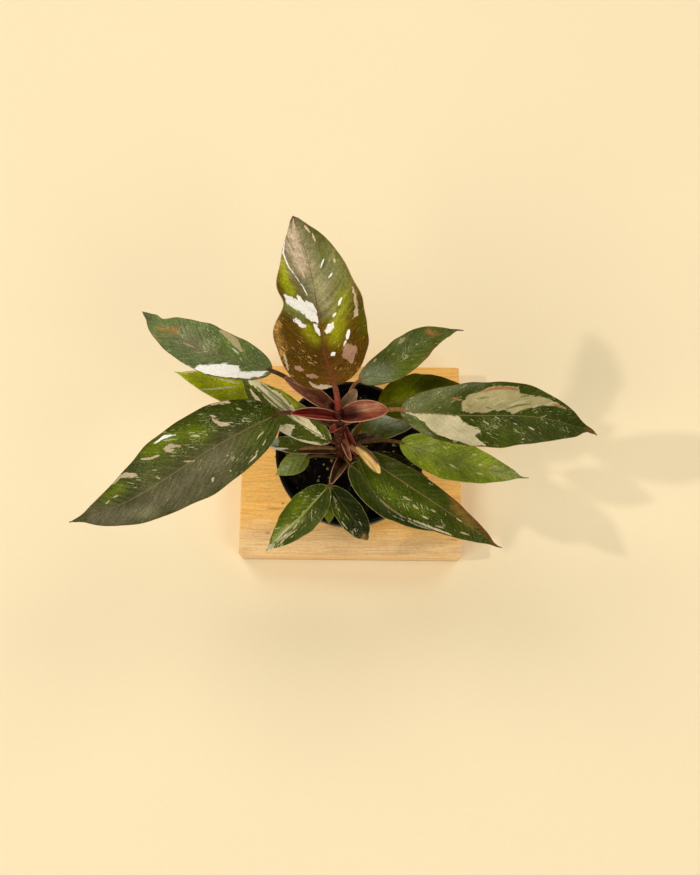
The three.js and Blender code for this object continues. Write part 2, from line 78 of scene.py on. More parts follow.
def size(name, description, millimetres):
    return FloatProperty(name=name, description=description, unit="LENGTH", subtype="DISTANCE",
                         precision=5, min=0, default=millimetres * MM)


# Settings


class BoardSettings(bpy.types.PropertyGroup):
    """Sizes and colours of the wooden board."""
    length: size("Length", "Board's length from left to right", 190)
    depth: size("Depth", "Board's depth from front to back", 169)
    thickness: size("Thickness", "Board's thickness", 30)
    corner: size("Corner", "Radius of the upright corners", 2)
    edge: size("Edge", "Radius of the sanded edges", 1)
    ring_spacing: size("Ring spacing", "Distance between two growth rings", 5.5)
    light_wood: paint("Light wood", "Wood grown in spring", 244, 186, 94)
    dark_wood: paint("Dark wood", "Wood grown in autumn", 205, 142, 66)
    # the board's wood is paler towards its front edge
    pale_wood: paint("Pale wood", "Wood paler towards the front edge", 240, 200, 140)


class PotSettings(bpy.types.PropertyGroup):
    """Sizes and colours of the nursery pot."""
    rim: size("Rim radius", "Outer radius of the lip", 57.3)
    base: size("Base radius", "Outer radius at the foot", 40)
    height: size("Height", "Height of the pot", 97)
    wall: size("Wall", "Thickness of the wall", 1.4)
    lip: size("Lip", "Height of the lip", 9)
    hole: size("Drain hole", "Radius of each drain hole", 4)
    plastic: paint("Plastic", "Black moulded plastic", 11, 10, 8)
    dust: paint("Dust", "Dust and lime on the plastic", 74, 66, 54)


class SoilSettings(bpy.types.PropertyGroup):
    """Sizes and colours of the potting mix."""
    relief: size("Relief", "Height of the crumbs in the surface", 1.3)
    bark_bits: IntProperty(name="Bark bits", description="Loose bits of bark", default=420, min=0)
    grit_bits: IntProperty(name="Grit bits", description="Loose pale grit", default=120, min=0)
    mix: paint("Mix", "Dark damp fibre", 10, 6, 3)
    bark: paint("Bark", "Bits of bark", 34, 21, 11)
    grit: paint("Grit", "Pale grit", 156, 140, 100)


class StemSettings(bpy.types.PropertyGroup):
    """Sizes and colours of the stems."""
    scar: size("Scar", "Depth of each ring scar", 0.5)
    # the stem's own maroon, made darker as painted shade for the crown's shadow over the stem
    maroon: paint("Maroon", "Main stem", 58, 12, 9)
    olive_brown: paint("Olive brown", "Front shoot and old leaf stalks", 98, 74, 30)
    stem_brown: paint("Stem brown", "Old foot of the main stem", 92, 56, 28)
    stalk_red: paint("Stalk red", "Root of the youngest leaf stalk", 152, 14, 10)
    stalk_root: paint("Stalk root", "Roots of the other leaf stalks", 92, 44, 26)
    stalk_brown: paint("Stalk brown", "Stalk of the youngest leaf", 104, 60, 46)
    stalk_dark: paint("Stalk dark", "Stalks of the leaves on the left", 66, 44, 26)
    stalk_pink: paint("Stalk pink", "Stalks of the older leaves", 142, 96, 66)


class LeafSettings(bpy.types.PropertyGroup):
    """Sizes and colours of the leaves."""
    thickness: size("Thickness", "Thickness of a blade", 0.6)
    quilting: size("Quilting", "Height of the swells between side veins", 0.16)
    bronze: paint("Bronze", "Young bronze leaf", 84, 56, 0)
    # painted sheen: the grey washes stand in for soft reflections on the glossy blades
    painted_grey_sheen: paint("Bronze grey", "Painted greyish sheen on the glossy leaves", 130, 132, 92)
    dark_green: paint("Dark green", "Old leaf", 50, 60, 4)
    mid_green: paint("Mid green", "Lighter parts of the old leaves", 84, 94, 24)
    fresh_green: paint("Fresh green", "Brightest green", 122, 138, 14)
    blue_green: paint("Blue green", "Bluish leaf", 94, 108, 60)
    black_green: paint("Black green", "Deepest green", 24, 32, 4)
    lime: paint("Lime", "Yellow green", 160, 164, 18)
    light_green: paint("Light green", "Pale green leaf", 138, 148, 74)
    olive: paint("Olive", "Brownish green leaf", 72, 76, 0)
    cream: paint("Cream", "Cream parts", 208, 194, 152)
    pale_cream: paint("Pale cream", "Brightest cream parts", 250, 238, 190)
    white: paint("White", "White patches", 255, 250, 240)
    blush: paint("Blush", "Pinkish white", 216, 188, 158)
    tan: paint("Tan", "Pinkish tan patches", 207, 183, 152)
    pink: paint("Pink", "Dull pink patches", 180, 138, 110)
    # partly the leaves' own purplish tone, partly painted sheen where the blades catch soft reflections
    purple_and_sheen: paint("Purple", "Purplish tone with painted sheen", 98, 89, 68)
    silver: paint("Silver", "Silvery streaks", 190, 198, 172)
    golden: paint("Golden", "Golden brown tips", 168, 124, 62)
    orange: paint("Orange", "Orange brown marks", 164, 112, 68)
    khaki: paint("Khaki", "Greyish khaki patches", 178, 164, 116)
    rib: paint("Rib", "Midrib of an old leaf", 124, 104, 70)
    rust: paint("Rust", "Reddish margins and ribs", 112, 60, 30)


class SheathSettings(bpy.types.PropertyGroup):
    """Colours of the sheaths that the leaves unrolled from."""
    thickness: size("Thickness", "Thickness of a sheath", 0.6)
    pink: paint("Pink", "Fresh sheath", 148, 78, 54)
    deep_pink: paint("Deep pink", "Shaded side of the fresh sheath", 56, 14, 9)
    rose: paint("Rose", "Lit folds of the red sheaths", 182, 60, 52)
    maroon: paint("Maroon", "Dark red sheath", 78, 18, 10)
    brown: paint("Brown", "Old brown sheath", 86, 48, 22)
    dark_brown: paint("Dark brown", "Shaded old sheath", 30, 19, 6)
    olive: paint("Olive", "Olive brown sheath", 98, 84, 44)
    tan: paint("Tan", "Dry papery sheath", 216, 178, 104)
    edge: paint("Edge", "Pale dry edge", 196, 150, 116)


class StageSettings(bpy.types.PropertyGroup):
    """The floor and the lights."""
    floor: FloatVectorProperty(name="Floor", description="Pale floor", subtype="COLOR", size=3,
                               min=0, max=1, default=(0.98, 0.82, 0.53))
    key: FloatProperty(name="Key light", description="Light from the left", default=0.62, min=0)
    fill: FloatProperty(name="Fill light", description="Soft light from all round", default=1.07,
                        min=0)


# Materials


class Finish:
    """One material, with its nodes laid down by short calls."""

    def __init__(self, name, specular, tint=(1, 1, 1), roughness=0.5):
        self.material = bpy.data.materials.new(name)
        self.material.use_nodes = True
        self.tree = self.material.node_tree
        self.tree.nodes.clear()
        output = self.tree.nodes.new("ShaderNodeOutputMaterial")
        self.shader = self.tree.nodes.new("ShaderNodeBsdfPrincipled")
        self.shader.inputs["Roughness"].default_value = roughness
        self.shader.inputs["Specular IOR Level"].default_value = specular
        self.shader.inputs["Specular Tint"].default_value = (*tint, 1)
        self.tree.links.new(self.shader.outputs[0], output.inputs[0])

    def put(self, socket, value):
        if isinstance(value, bpy.types.NodeSocket):
            self.tree.links.new(value, socket)
        elif hasattr(socket.default_value, "__len__") and len(socket.default_value) == 4:
            socket.default_value = (*tuple(value)[:3], 1)
        else:
            socket.default_value = value

    def node(self, kind, inputs=(), **options):
        made = self.tree.nodes.new(kind)
        for key, value in options.items():
            setattr(made, key, value)
        for key, value in dict(inputs).items():
            self.put(made.inputs[key], value)
        return made

    def math(self, operation, first, *others):
        """Takes the values in turn, from the first on, through the operation."""
        for other in others:
            first = self.node("ShaderNodeMath", {0: first, 1: other}, operation=operation).outputs[0]
        return first

    def times(self, *values):
        return self.math("MULTIPLY", *values)

    def plus(self, *values):
        return self.math("ADD", *values)

    def vector(self, operation, *values, output=0):
        inputs = dict(enumerate(values))
        return self.node("ShaderNodeVectorMath", inputs, operation=operation).outputs[output]

    def axis(self, vector, name):
        return self.node("ShaderNodeSeparateXYZ", {0: vector}).outputs[name]

    def mix(self, share, first, second):
        made = self.node("ShaderNodeMix", data_type="RGBA")
        for place, value in ((0, share), (6, first), (7, second)):
            self.put(made.inputs[place], value)
        return made.outputs[2]

    def brighten(self, colour, factor):
        """Multiplies a colour by a number."""
        inputs = {0: colour, "Scale": factor}
        return self.node("ShaderNodeVectorMath", inputs, operation="SCALE").outputs[0]

    def span(self, value, low, high, start=0.0, end=1.0, kind="LINEAR"):
        """Maps low..high of a value onto start..end and holds it there."""
        inputs = {0: value, 1: low, 2: high, 3: start, 4: end}
        return self.node("ShaderNodeMapRange", inputs, interpolation_type=kind).outputs[0]

    def vary(self, value, start, end):
        """Maps the reach that a noise mostly keeps to onto start..end."""
        return self.span(value, 0.3, 0.7, start, end)

    def place(self):
        return self.node("ShaderNodeTexCoord").outputs["Object"]

    def vein(self):
        return self.node("ShaderNodeUVMap", uv_map="vein").outputs[0]

    def stretch(self, vector, scale, shift=(0, 0, 0)):
        inputs = {"Vector": vector, "Scale": scale, "Location": shift}
        return self.node("ShaderNodeMapping", inputs).outputs[0]

    def noise(self, vector, scale=1.0, detail=2.0, roughness=0.5):
        inputs = {"Vector": vector, "Scale": scale, "Detail": detail, "Roughness": roughness}
        return self.node("ShaderNodeTexNoise", inputs).outputs["Fac"]

    def cells(self, vector, scale):
        inputs = {"Vector": vector, "Scale": scale}
        return self.node("ShaderNodeTexVoronoi", inputs).outputs["Distance"]

    def reading(self, name, output="Fac"):
        """A value or colour that was stored on the mesh."""
        return self.node("ShaderNodeAttribute", attribute_name=name).outputs[output]

    def bump(self, height, distance, strength):
        inputs = {"Height": height, "Distance": distance, "Strength": strength}
        self.put(self.shader.inputs["Normal"], self.node("ShaderNodeBump", inputs).outputs[0])

    def colour(self, value):
        self.put(self.shader.inputs["Base Color"], value)

    def roughness(self, value):
        self.put(self.shader.inputs["Roughness"], value)


def leaf_finish(name, fleck, underside):
    """Leaf skin: soft colours, ragged patches, flecks that follow the side veins, midrib, margin."""
    made = Finish(name, 0.14, (0.94, 0.9, 0.42))
    vein = made.vein()
    streaks = made.noise(made.stretch(vein, (0.30, 0.07, 1)), detail=3)
    fibres = made.noise(made.stretch(vein, (1.5, 0.7, 1)), detail=2)
    torn = made.noise(made.stretch(vein, (0.36, 0.34, 1), (5, 9, 0)), detail=5, roughness=0.65)
    grains = made.noise(made.place(), 800, 2)
    blotches = made.noise(made.place(), 55, 3)
    side_veins = made.noise(made.stretch(vein, (0.30, 0.008, 1)), detail=1)
    from_vein = made.math("SUBTRACT", side_veins, 0.5)
    from_vein = made.math("ABSOLUTE", from_vein, 0.0)
    vein_line = made.span(from_vein, 0.03, 0.0)

    shade = made.times(made.vary(streaks, 0.78, 1.18), made.vary(blotches, 0.72, 1.26),
                       made.vary(grains, 0.74, 1.28), made.span(torn, 0.35, 0.65, 0.82, 1.2),
                       made.vary(fibres, 0.9, 1.12))
    colour = made.brighten(made.reading("tint", "Color"), shade)
    colour = made.mix(made.times(vein_line, 0.05), colour, fleck)

    # dashes along the side veins and fine specks, in clumps, and denser where the leaf says so
    clumps = made.noise(made.place(), 85, 3)
    amount = made.times(made.reading("flecks"), made.span(clumps, 0.38, 0.62, 0.22, 0.56))
    uneven = made.vary(fibres, -0.05, 0.05)
    dashes = made.cells(made.stretch(vein, (0.46, 0.16, 1), (31, 17, 0)), 1)
    dashes = made.math("SUBTRACT", made.plus(made.times(amount, 0.85), uneven), dashes)
    specks = made.cells(made.stretch(vein, (1.4, 1.1, 1), (11, 7, 0)), 1)
    specks = made.math("SUBTRACT", made.plus(amount, uneven), specks)
    light = made.math("MAXIMUM", made.span(dashes, 0.0, 0.06, 0, 0.85),
                      made.span(specks, 0.0, 0.07, 0, 0.75))
    colour = made.mix(light, colour, fleck)

    # white patches are solid, and the duller ones let some green through
    ragged = made.plus(made.reading("patch_edge"), made.vary(torn, -1.0, 1.0),
                       made.span(fibres, 0.25, 0.75, -0.25, 0.25))
    patch_tint = made.reading("patch", "Color")
    whiteness = made.node("ShaderNodeRGBToBW", {0: patch_tint}).outputs[0]
    solid = made.math("MAXIMUM", made.span(whiteness, 0.5, 0.85),
                      made.span(blotches, 0.36, 0.6, 0.66, 1.0))
    patch = made.times(made.span(ragged, -0.2, 0.2, kind="SMOOTHSTEP"),
                       made.span(streaks, 0.34, 0.48, 0.88, 1.0), solid)
    patch_shade = made.times(made.span(fibres, 0.3, 0.75, 1.06, 0.86), made.vary(grains, 0.9, 1.1))
    colour = made.mix(patch, colour, made.brighten(patch_tint, patch_shade))

    line = made.plus(made.reading("line_edge"), made.vary(fibres, -0.15, 0.15))
    line = made.times(made.span(line, -0.15, 0.2), 0.8)
    colour = made.mix(line, colour, made.reading("line", "Color"))
    under = made.mix(made.span(streaks, 0.35, 0.65, 0.45, 0.75), colour, underside)
    made.colour(made.mix(made.reading("under"), colour, under))
    made.roughness(made.plus(made.vary(fibres, 0.25, 0.37), made.times(made.reading("under"), 0.2)))
    height = made.plus(made.times(vein_line, -0.5), made.times(fibres, 0.35),
                       made.times(streaks, 0.8))
    made.bump(height, 0.00025, 0.6)
    return made.material


def sheath_finish(name, edge_colour, dryness):
    """Sheath skin: long fibres from base to tip, a pale edge and, where dry, brown flecks."""
    made = Finish(name, 0.16, (1.0, 0.86, 0.72))
    fibres = made.noise(made.stretch(made.vein(), (0.05, 1.1, 1)), detail=3)
    blotches = made.noise(made.place(), 160, 3)
    shade = made.times(made.span(fibres, 0.36, 0.64, 0.52, 1.42), made.vary(blotches, 0.78, 1.2))
    colour = made.brighten(made.reading("tint", "Color"), shade)
    worn = made.times(made.span(blotches, 0.56, 0.66), dryness)
    colour = made.mix(worn, colour, edge_colour)
    edge = made.plus(made.reading("line_edge"), made.vary(fibres, -0.2, 0.2))
    edge = made.times(made.span(edge, -0.1, 0.15), 0.8)
    colour = made.mix(edge, colour, made.reading("line", "Color"))
    made.colour(made.mix(made.times(made.reading("under"), 0.35), colour, edge_colour))
    made.roughness(made.vary(blotches, 0.30 + 0.3 * dryness, 0.42 + 0.4 * dryness))
    made.bump(fibres, 0.0002, 0.7)
    return made.material


def stem_finish(name, scar_colour):
    """Stem skin: blotched, finely ribbed, with pale specks and darker rings at the scars."""
    made = Finish(name, 0.2, (1.0, 0.86, 0.72))
    fibres = made.noise(made.stretch(made.vein(), (0.12, 1.2, 1)), detail=3)
    blotches = made.noise(made.place(), 190, 4)
    shade = made.times(made.vary(fibres, 0.8, 1.2), made.vary(blotches, 0.7, 1.3))
    colour = made.brighten(made.reading("tint", "Color"), shade)
    colour = made.mix(made.reading("patch_edge"), colour, scar_colour)
    specks = made.span(made.cells(made.place(), 420), 0.22, 0.12)
    made.colour(made.mix(made.times(specks, 0.3), colour, linear(190, 150, 110)))
    made.roughness(made.vary(blotches, 0.34, 0.5))
    made.bump(made.plus(fibres, made.times(blotches, 0.6)), 0.0003, 0.6)
    return made.material


# a small knot, a dark streak beside it, and a dark line near the board's right front corner:
# where each is, how it is stretched, and how far it reaches
BOARD_MARKS = (((-0.0705, -0.0655, 0.03), (1, 1.6, 1), 0.0032),
               ((-0.0660, -0.0445, 0.03), (0.16, 1, 1), 0.0016),
               ((0.0880, -0.0700, 0.03), (0.3, 1, 1), 0.0012))


def board_finish(settings):
    """Sanded softwood: growth rings seen along the grain on top and as arcs on the two ends."""
    made = Finish("sanded softwood", 0.3)
    place = made.place()
    warp = made.noise(made.stretch(place, (4, 22, 22)), 1, 3)
    across = made.stretch(place, (0.03, 1, 1), (0, -0.031, 0.055))
    heart = made.vector("LENGTH", across, output="Value")
    rings = made.math("DIVIDE", heart, settings.ring_spacing)
    saw = made.math("FRACT", made.plus(rings, made.times(warp, 4.5)), 0.0)
    late = made.math("POWER", saw, 3.0)
    fibres = made.noise(made.stretch(place, (48, 900, 900)), 1, 3)
    streaks = made.noise(made.stretch(place, (9, 150, 150)), 1, 3)
    grains = made.noise(made.stretch(place, (320, 800, 800)), 1, 2)
    pores = made.span(made.noise(made.stretch(place, (120, 1300, 1300)), 1, 1), 0.66, 0.74)
    rough_edge = made.vary(fibres, -0.0008, 0.0008)

    # the wood turns paler towards the front edge
    front = made.plus(made.axis(place, "Y"), made.vary(made.noise(place, 16, 2), -0.008, 0.008))
    paler_to_front = made.span(front, -0.050, -0.074, kind="SMOOTHSTEP")
    light = made.mix(paler_to_front, settings.light_wood, settings.pale_wood)
    colour = made.mix(made.times(late, 0.22), light, settings.dark_wood)
    colour = made.brighten(colour, made.times(
        made.vary(fibres, 0.93, 1.08), made.vary(streaks, 0.93, 1.07), made.vary(grains, 0.91, 1.09)))
    colour = made.mix(made.span(fibres, 0.52, 0.30, 0, 0.3), colour, linear(206, 128, 62))
    colour = made.mix(made.times(pores, 0.28), colour, linear(150, 84, 38))
    marks = []
    for spot, stretched, reach in BOARD_MARKS:
        away = made.vector("MULTIPLY", made.vector("SUBTRACT", place, spot), stretched)
        away = made.plus(made.vector("LENGTH", away, output="Value"), rough_edge)
        marks.append(made.span(away, reach, reach * 0.3, 0, 0.5))
    colour = made.mix(made.math("MAXIMUM", *marks), colour, linear(150, 90, 40))
    # painted shade: the foot of the board is darkened where it stands on the floor, for the dark contact
    # line there
    painted_contact_shade = made.span(made.plus(made.axis(place, "Z"), rough_edge), 0.0042, 0.0022, 0, 0.7)
    made.colour(made.mix(painted_contact_shade, colour, linear(104, 64, 34)))
    made.roughness(made.vary(streaks, 0.48, 0.64))
    height = made.math("SUBTRACT", made.times(fibres, 0.5), made.plus(pores, made.times(late, 0.4)))
    made.bump(height, 0.0002, 0.5)
    return made.material


def pot_finish(settings):
    """Thin black moulded plastic: satin, with faint flow marks, scuffs and dust low down."""
    made = Finish("black moulded plastic", 0.32, (1.0, 0.86, 0.68))
    place = made.place()
    flow = made.noise(made.stretch(place, (30, 30, 260)), 1, 3)
    dusty = made.noise(place, 45, 4, 0.6)
    low = made.span(made.axis(place, "Z"), 0.110, 0.032, 0.0, 0.10)
    film = made.span(made.plus(dusty, low), 0.54, 0.74, 0.0, 0.35)
    scuffs = made.noise(made.stretch(place, (60, 60, 500), (3, 5, 7)), 1, 2)
    scuffs = made.span(scuffs, 0.66, 0.72, 0.0, 0.35)
    colour = made.brighten(settings.plastic, made.vary(flow, 0.8, 1.25))
    made.colour(made.mix(made.math("MAXIMUM", film, scuffs), colour, settings.dust))
    made.roughness(made.span(made.plus(dusty, scuffs), 0.3, 0.8, 0.34, 0.58))
    made.bump(made.plus(flow, made.times(dusty, 0.5)), 0.0003, 0.35)
    return made.material


def crumb_finish(name, colour, pale, cell_scale, roughness):
    """Crumbly matter: each crumb a little lighter or darker, with damp and dry places."""
    made = Finish(name, 0.12)
    fine = made.noise(made.place(), cell_scale, 5, 0.65)
    broad = made.noise(made.place(), 120, 3)
    shade = made.times(made.vary(fine, 0.45, 1.7), made.vary(broad, 0.7, 1.35))
    mixed = made.brighten(colour, shade)
    made.colour(made.mix(made.span(fine, 0.62, 0.72, 0.0, 0.6), mixed, pale))
    made.roughness(made.vary(broad, roughness - 0.12, roughness + 0.1))
    made.bump(fine, 0.0006, 0.9)
    return made.material


def floor_finish(settings):
    """A plain matt sheet with barely seen mottling."""
    made = Finish("plain pale sheet", 0.15, roughness=0.8)
    place = made.place()
    cloud = made.span(made.noise(place, 3.0, 3), 0.3, 0.7, 0.985, 1.0)
    grain = made.span(made.noise(place, 260, 2), 0.3, 0.7, 0.99, 1.0)
    made.colour(made.brighten(settings.floor, made.times(cloud, grain)))
    # beyond the reach of the soft boxes the sheet is kept as bright as near the pot
    away = made.vector("LENGTH", place, output="Value")
    made.put(made.shader.inputs["Emission Color"], settings.floor)
    made.put(made.shader.inputs["Emission Strength"],
             made.span(away, 1.1, 2.8, 0, 0.55, kind="SMOOTHSTEP"))
    return made.material


# Modelling helpers


def start_clean():
    """Leaves object mode ready for a new primitive, with nothing selected."""
    if bpy.context.mode != "OBJECT":
        bpy.ops.object.mode_set(mode="OBJECT")
    bpy.ops.object.select_all(action="DESELECT")


def only(piece):
    start_clean()
    piece.select_set(True)
    bpy.context.view_layer.objects.active = piece


def settle(piece):
    """Puts the piece's place into its mesh."""
    only(piece)
    bpy.ops.object.transform_apply(location=True, rotation=True, scale=True)


def apply_modifier(piece, kind, **options):
    only(piece)
    modifier = piece.modifiers.new(kind.title(), kind)
    for key, value in options.items():
        setattr(modifier, key, value)
    bpy.ops.object.modifier_apply(modifier=modifier.name)


def smooth_by_angle(piece, degrees):
    only(piece)
    bpy.ops.object.shade_smooth_by_angle(angle=math.radians(degrees))


def finished(piece, name, material, nodes):
    """Names the piece, gives it its finish, hangs it on the root body and hides the imported parts that it
    stands for.
    """
    settle(piece)
    move_points(piece.data, np.clip(points_of(piece.data), *CAD_BOX))
    piece.name = name
    piece.data.name = name
    piece.data.materials.clear()
    piece.data.materials.append(material)
    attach(piece, "root")
    if nodes:
        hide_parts(*nodes)
    start_clean()
    return piece


def points_of(mesh):
    flat = np.empty(len(mesh.vertices) * 3, dtype=np.float32)
    mesh.vertices.foreach_get("co", flat)
    return flat.reshape(-1, 3).astype(float)


def move_points(mesh, places):
    mesh.vertices.foreach_set("co", np.asarray(places, dtype=np.float32).ravel())
    mesh.update()


def new_faces(mesh, places, faces):
    mesh.clear_geometry()
    mesh.from_pydata(places, [], faces)
    mesh.update()


def store(mesh, **layers):
    """Keeps one number or one colour per point on the mesh, under each layer's name."""
    for name, values in layers.items():
        values = np.asarray(values, dtype=np.float32)
        if values.ndim == 1:
            mesh.attributes.new(name, "FLOAT", "POINT").data.foreach_set("value", values)
        else:
            four = np.ones((len(values), 4), dtype=np.float32)
            four[:, :3] = values
            layer = mesh.attributes.new(name, "FLOAT_COLOR", "POINT")
            layer.data.foreach_set("color", four.ravel())


def store_flat(mesh, along, aside):
    """Keeps a flat place in millimetres per point, as the UV map that the finishes follow."""
    layer = mesh.uv_layers.get("vein") or mesh.uv_layers.new(name="vein")
    corners = np.empty(len(mesh.loops), dtype=np.int32)
    mesh.loops.foreach_get("vertex_index", corners)
    places = np.stack([along, aside], axis=1).astype(np.float32)
    layer.data.foreach_set("uv", places[corners].ravel())


def bar(name, points, radii, sides):
    """A round bar along the points, drawn as a curve with a bevel and made a mesh."""
    start_clean()
    bpy.ops.curve.primitive_bezier_curve_add()
    curve = bpy.context.object
    curve.name = name
    curve.location = (0, 0, 0)
    data = curve.data
    data.splines.clear()
    spline = data.splines.new("POLY")
    spline.points.add(len(points) - 1)
    for place, at, radius in zip(spline.points, points, radii):
        place.co = (*at, 1)
        place.radius = radius
    data.dimensions = "3D"
    data.bevel_depth = 1.0
    data.bevel_resolution = sides // 4 - 1
    data.resolution_u = 1
    data.use_fill_caps = True
    only(curve)
    bpy.ops.object.convert(target="MESH")
    bpy.ops.object.shade_smooth()
    return bpy.context.object


def along_line(places):
    """How far along the line each of its points lies."""
    return np.concatenate([[0], np.cumsum(np.linalg.norm(np.diff(places, axis=0), axis=1))])


def nearest_of(spots, places):
    """For each spot, which of the places is nearest."""
    return np.argmin(((spots[:, None] - places[None]) ** 2).sum(-1), axis=1)


def join(main, *others):
    only(main)
    for other in others:
        other.select_set(True)
    bpy.ops.object.join()
    return main


def pull_rings(centre, steps):
    """Pulls the open rim of the active mesh through the steps, each a rise and a widening,
    and closes it at the last one."""
    bpy.ops.object.mode_set(mode="EDIT")
    bpy.ops.mesh.select_mode(type="EDGE")
    bpy.ops.mesh.select_all(action="SELECT")
    bpy.ops.mesh.region_to_loop()
    for rise, widening in steps:
        bpy.ops.mesh.extrude_edges_move(TRANSFORM_OT_translate={"value": (0, 0, rise)})
        bpy.ops.transform.resize(value=(widening, widening, 1), center_override=centre)
    bpy.ops.mesh.edge_face_add()
    bpy.ops.mesh.select_all(action="SELECT")
    bpy.ops.mesh.normals_make_consistent(inside=False)
    bpy.ops.object.mode_set(mode="OBJECT")


# Board and pot


def select_upright_edges(piece, least):
    """In edit mode, selects the edges that rise by more than the least."""
    bpy.ops.mesh.select_mode(type="EDGE")
    bpy.ops.mesh.select_all(action="DESELECT")
    bpy.ops.object.mode_set(mode="OBJECT")
    for edge in piece.data.edges:
        low, high = (piece.data.vertices[end].co.z for end in edge.vertices)
        edge.select = abs(high - low) > least
    bpy.ops.object.mode_set(mode="EDIT")


def build_board(settings):
    start_clean()
    bpy.ops.mesh.primitive_cube_add(size=1, location=(0, 0, settings.thickness / 2))
    board = bpy.context.object
    bpy.ops.transform.resize(value=(settings.length, settings.depth, settings.thickness))
    settle(board)
    bpy.ops.object.mode_set(mode="EDIT")
    select_upright_edges(board, settings.thickness / 2)
    bpy.ops.mesh.bevel(offset=settings.corner, segments=4, affect="EDGES")
    bpy.ops.object.mode_set(mode="OBJECT")
    apply_modifier(board, "BEVEL", width=settings.edge, segments=3, limit_method="ANGLE",
                   angle_limit=math.radians(60))
    smooth_by_angle(board, 40)
    finished(board, "stand_board_wood", board_finish(settings), ["stand_board"])


BOARD_TOP = 30 * MM
POT_CENTRE = Vector((-1, -17, 0)) * MM
POT_BOTTOM = 30.3 * MM
POT_FLOOR = 2.5 * MM
POT_SEGMENTS = 96
POT_SIDE_STEPS = 14
MOULDED_STEP = 0.35 * MM
DRAIN_HOLES = 6
DRAIN_RING = 27 * MM
SOIL_TOP = 117.3 * MM
SOIL_RADIUS = 53.6 * MM
SOIL_CELLS = 110
SOIL_TAPER = 0.18
SOIL_DROPS = (6 * MM, 30 * MM, 44 * MM)
STREWN_RADIUS = 51.5 * MM


def pot_rings(settings):
    """The pot's radius and height, ring by ring: up the outside, over the lip, down the inside."""
    top = POT_BOTTOM + settings.height
    floor = POT_BOTTOM + POT_FLOOR
    lip_bottom = top - settings.lip
    foot = settings.base - 5 * MM
    rim = settings.rim

    def outer(height):
        share = (height - POT_BOTTOM) / settings.height
        return settings.base + (rim - 1 * MM - settings.base) * share

    def inner(height):
        return outer(height) - settings.wall

    rings = [
        (foot - 0.4 * MM, floor), (foot, floor - 0.4 * MM), (foot + 0.2 * MM, POT_BOTTOM + 0.4 * MM),
        (foot + 0.6 * MM, POT_BOTTOM), (settings.base - 0.6 * MM, POT_BOTTOM),
        (outer(POT_BOTTOM + 0.2 * MM), POT_BOTTOM + 0.3 * MM),
        (outer(POT_BOTTOM + 0.8 * MM), POT_BOTTOM + 0.8 * MM),
    ]
    for step in range(1, POT_SIDE_STEPS):
        share = step / POT_SIDE_STEPS
        height = POT_BOTTOM + (lip_bottom - POT_BOTTOM) * share
        # two faint steps moulded into the side, as such pots have
        moulded = 0.30 < share < 0.36 or 0.62 < share < 0.70
        rings.append((outer(height) - (MOULDED_STEP if moulded else 0), height))
    rings += [
        (outer(lip_bottom) - 0.1 * MM, lip_bottom - 0.2 * MM), (rim - 0.5 * MM, lip_bottom),
        (rim, lip_bottom + 0.5 * MM), (rim, top - 0.6 * MM), (rim - 0.25 * MM, top - 0.15 * MM),
        (rim - 0.7 * MM, top), (inner(top) + 0.4 * MM, top), (inner(top) + 0.1 * MM, top - 0.2 * MM),
        (inner(top), top - 0.6 * MM),
    ]
    for share in (0.1, 0.3, 0.6, 0.9):
        height = top - share * (top - floor)
        rings.append((inner(height), height))
    return rings + [(inner(floor + settings.wall) - 1 * MM, floor + settings.wall)]


def build_pot(settings):
    """A ring drawn up the outside, over the lip and down the inside, with drain holes cut."""
    rings = pot_rings(settings)
    start_clean()
    bpy.ops.mesh.primitive_circle_add(vertices=POT_SEGMENTS, radius=rings[0][0], fill_type="NGON",
                                      location=(*POT_CENTRE.xy, rings[0][1]))
    pot = bpy.context.object
    settle(pot)
    pull_rings(POT_CENTRE, [(high - low, wide / narrow)
                            for (narrow, low), (wide, high) in zip(rings, rings[1:])])
    cutters = []
    for hole in range(DRAIN_HOLES):
        angle = 2 * math.pi * hole / DRAIN_HOLES
        out = Vector((math.cos(angle), math.sin(angle), 0)) * DRAIN_RING
        start_clean()
        bpy.ops.mesh.primitive_cylinder_add(
            vertices=32, radius=settings.hole, depth=12 * MM,
            location=POT_CENTRE + out + Vector((0, 0, POT_BOTTOM + POT_FLOOR)))
        cutters.append(bpy.context.object)
    cutter = join(*cutters)
    settle(cutter)
    apply_modifier(pot, "BOOLEAN", object=cutter, operation="DIFFERENCE", solver="EXACT")
    bpy.data.objects.remove(cutter)
    smooth_by_angle(pot, 50)
    finished(pot, "nursery_pot_shell", pot_finish(settings), ["nursery_pot"])


# Potting mix

SWELL_SCALE = 38
SWELL_HEIGHT = 1.4 * MM
CRUMB_SCALE = 230
MEAN_CRUMB = 0.45


def disc_from_square(square):
    """Presses a square of points from -1 to 1 into a round one, evenly."""
    x, y = square[:, 0], square[:, 1]
    return np.stack([x * np.sqrt(1 - y * y / 2), y * np.sqrt(1 - x * x / 2)], axis=1)


def soil_height(x, y, relief):
    """Height of the mix over its level at a place, in metres."""
    swell = noise.noise(Vector((x * SWELL_SCALE, y * SWELL_SCALE, 3.1))) * SWELL_HEIGHT
    crumbs = noise.turbulence(Vector((x * CRUMB_SCALE, y * CRUMB_SCALE, 7.7)), 3, False)
    return swell + (crumbs - MEAN_CRUMB) * relief


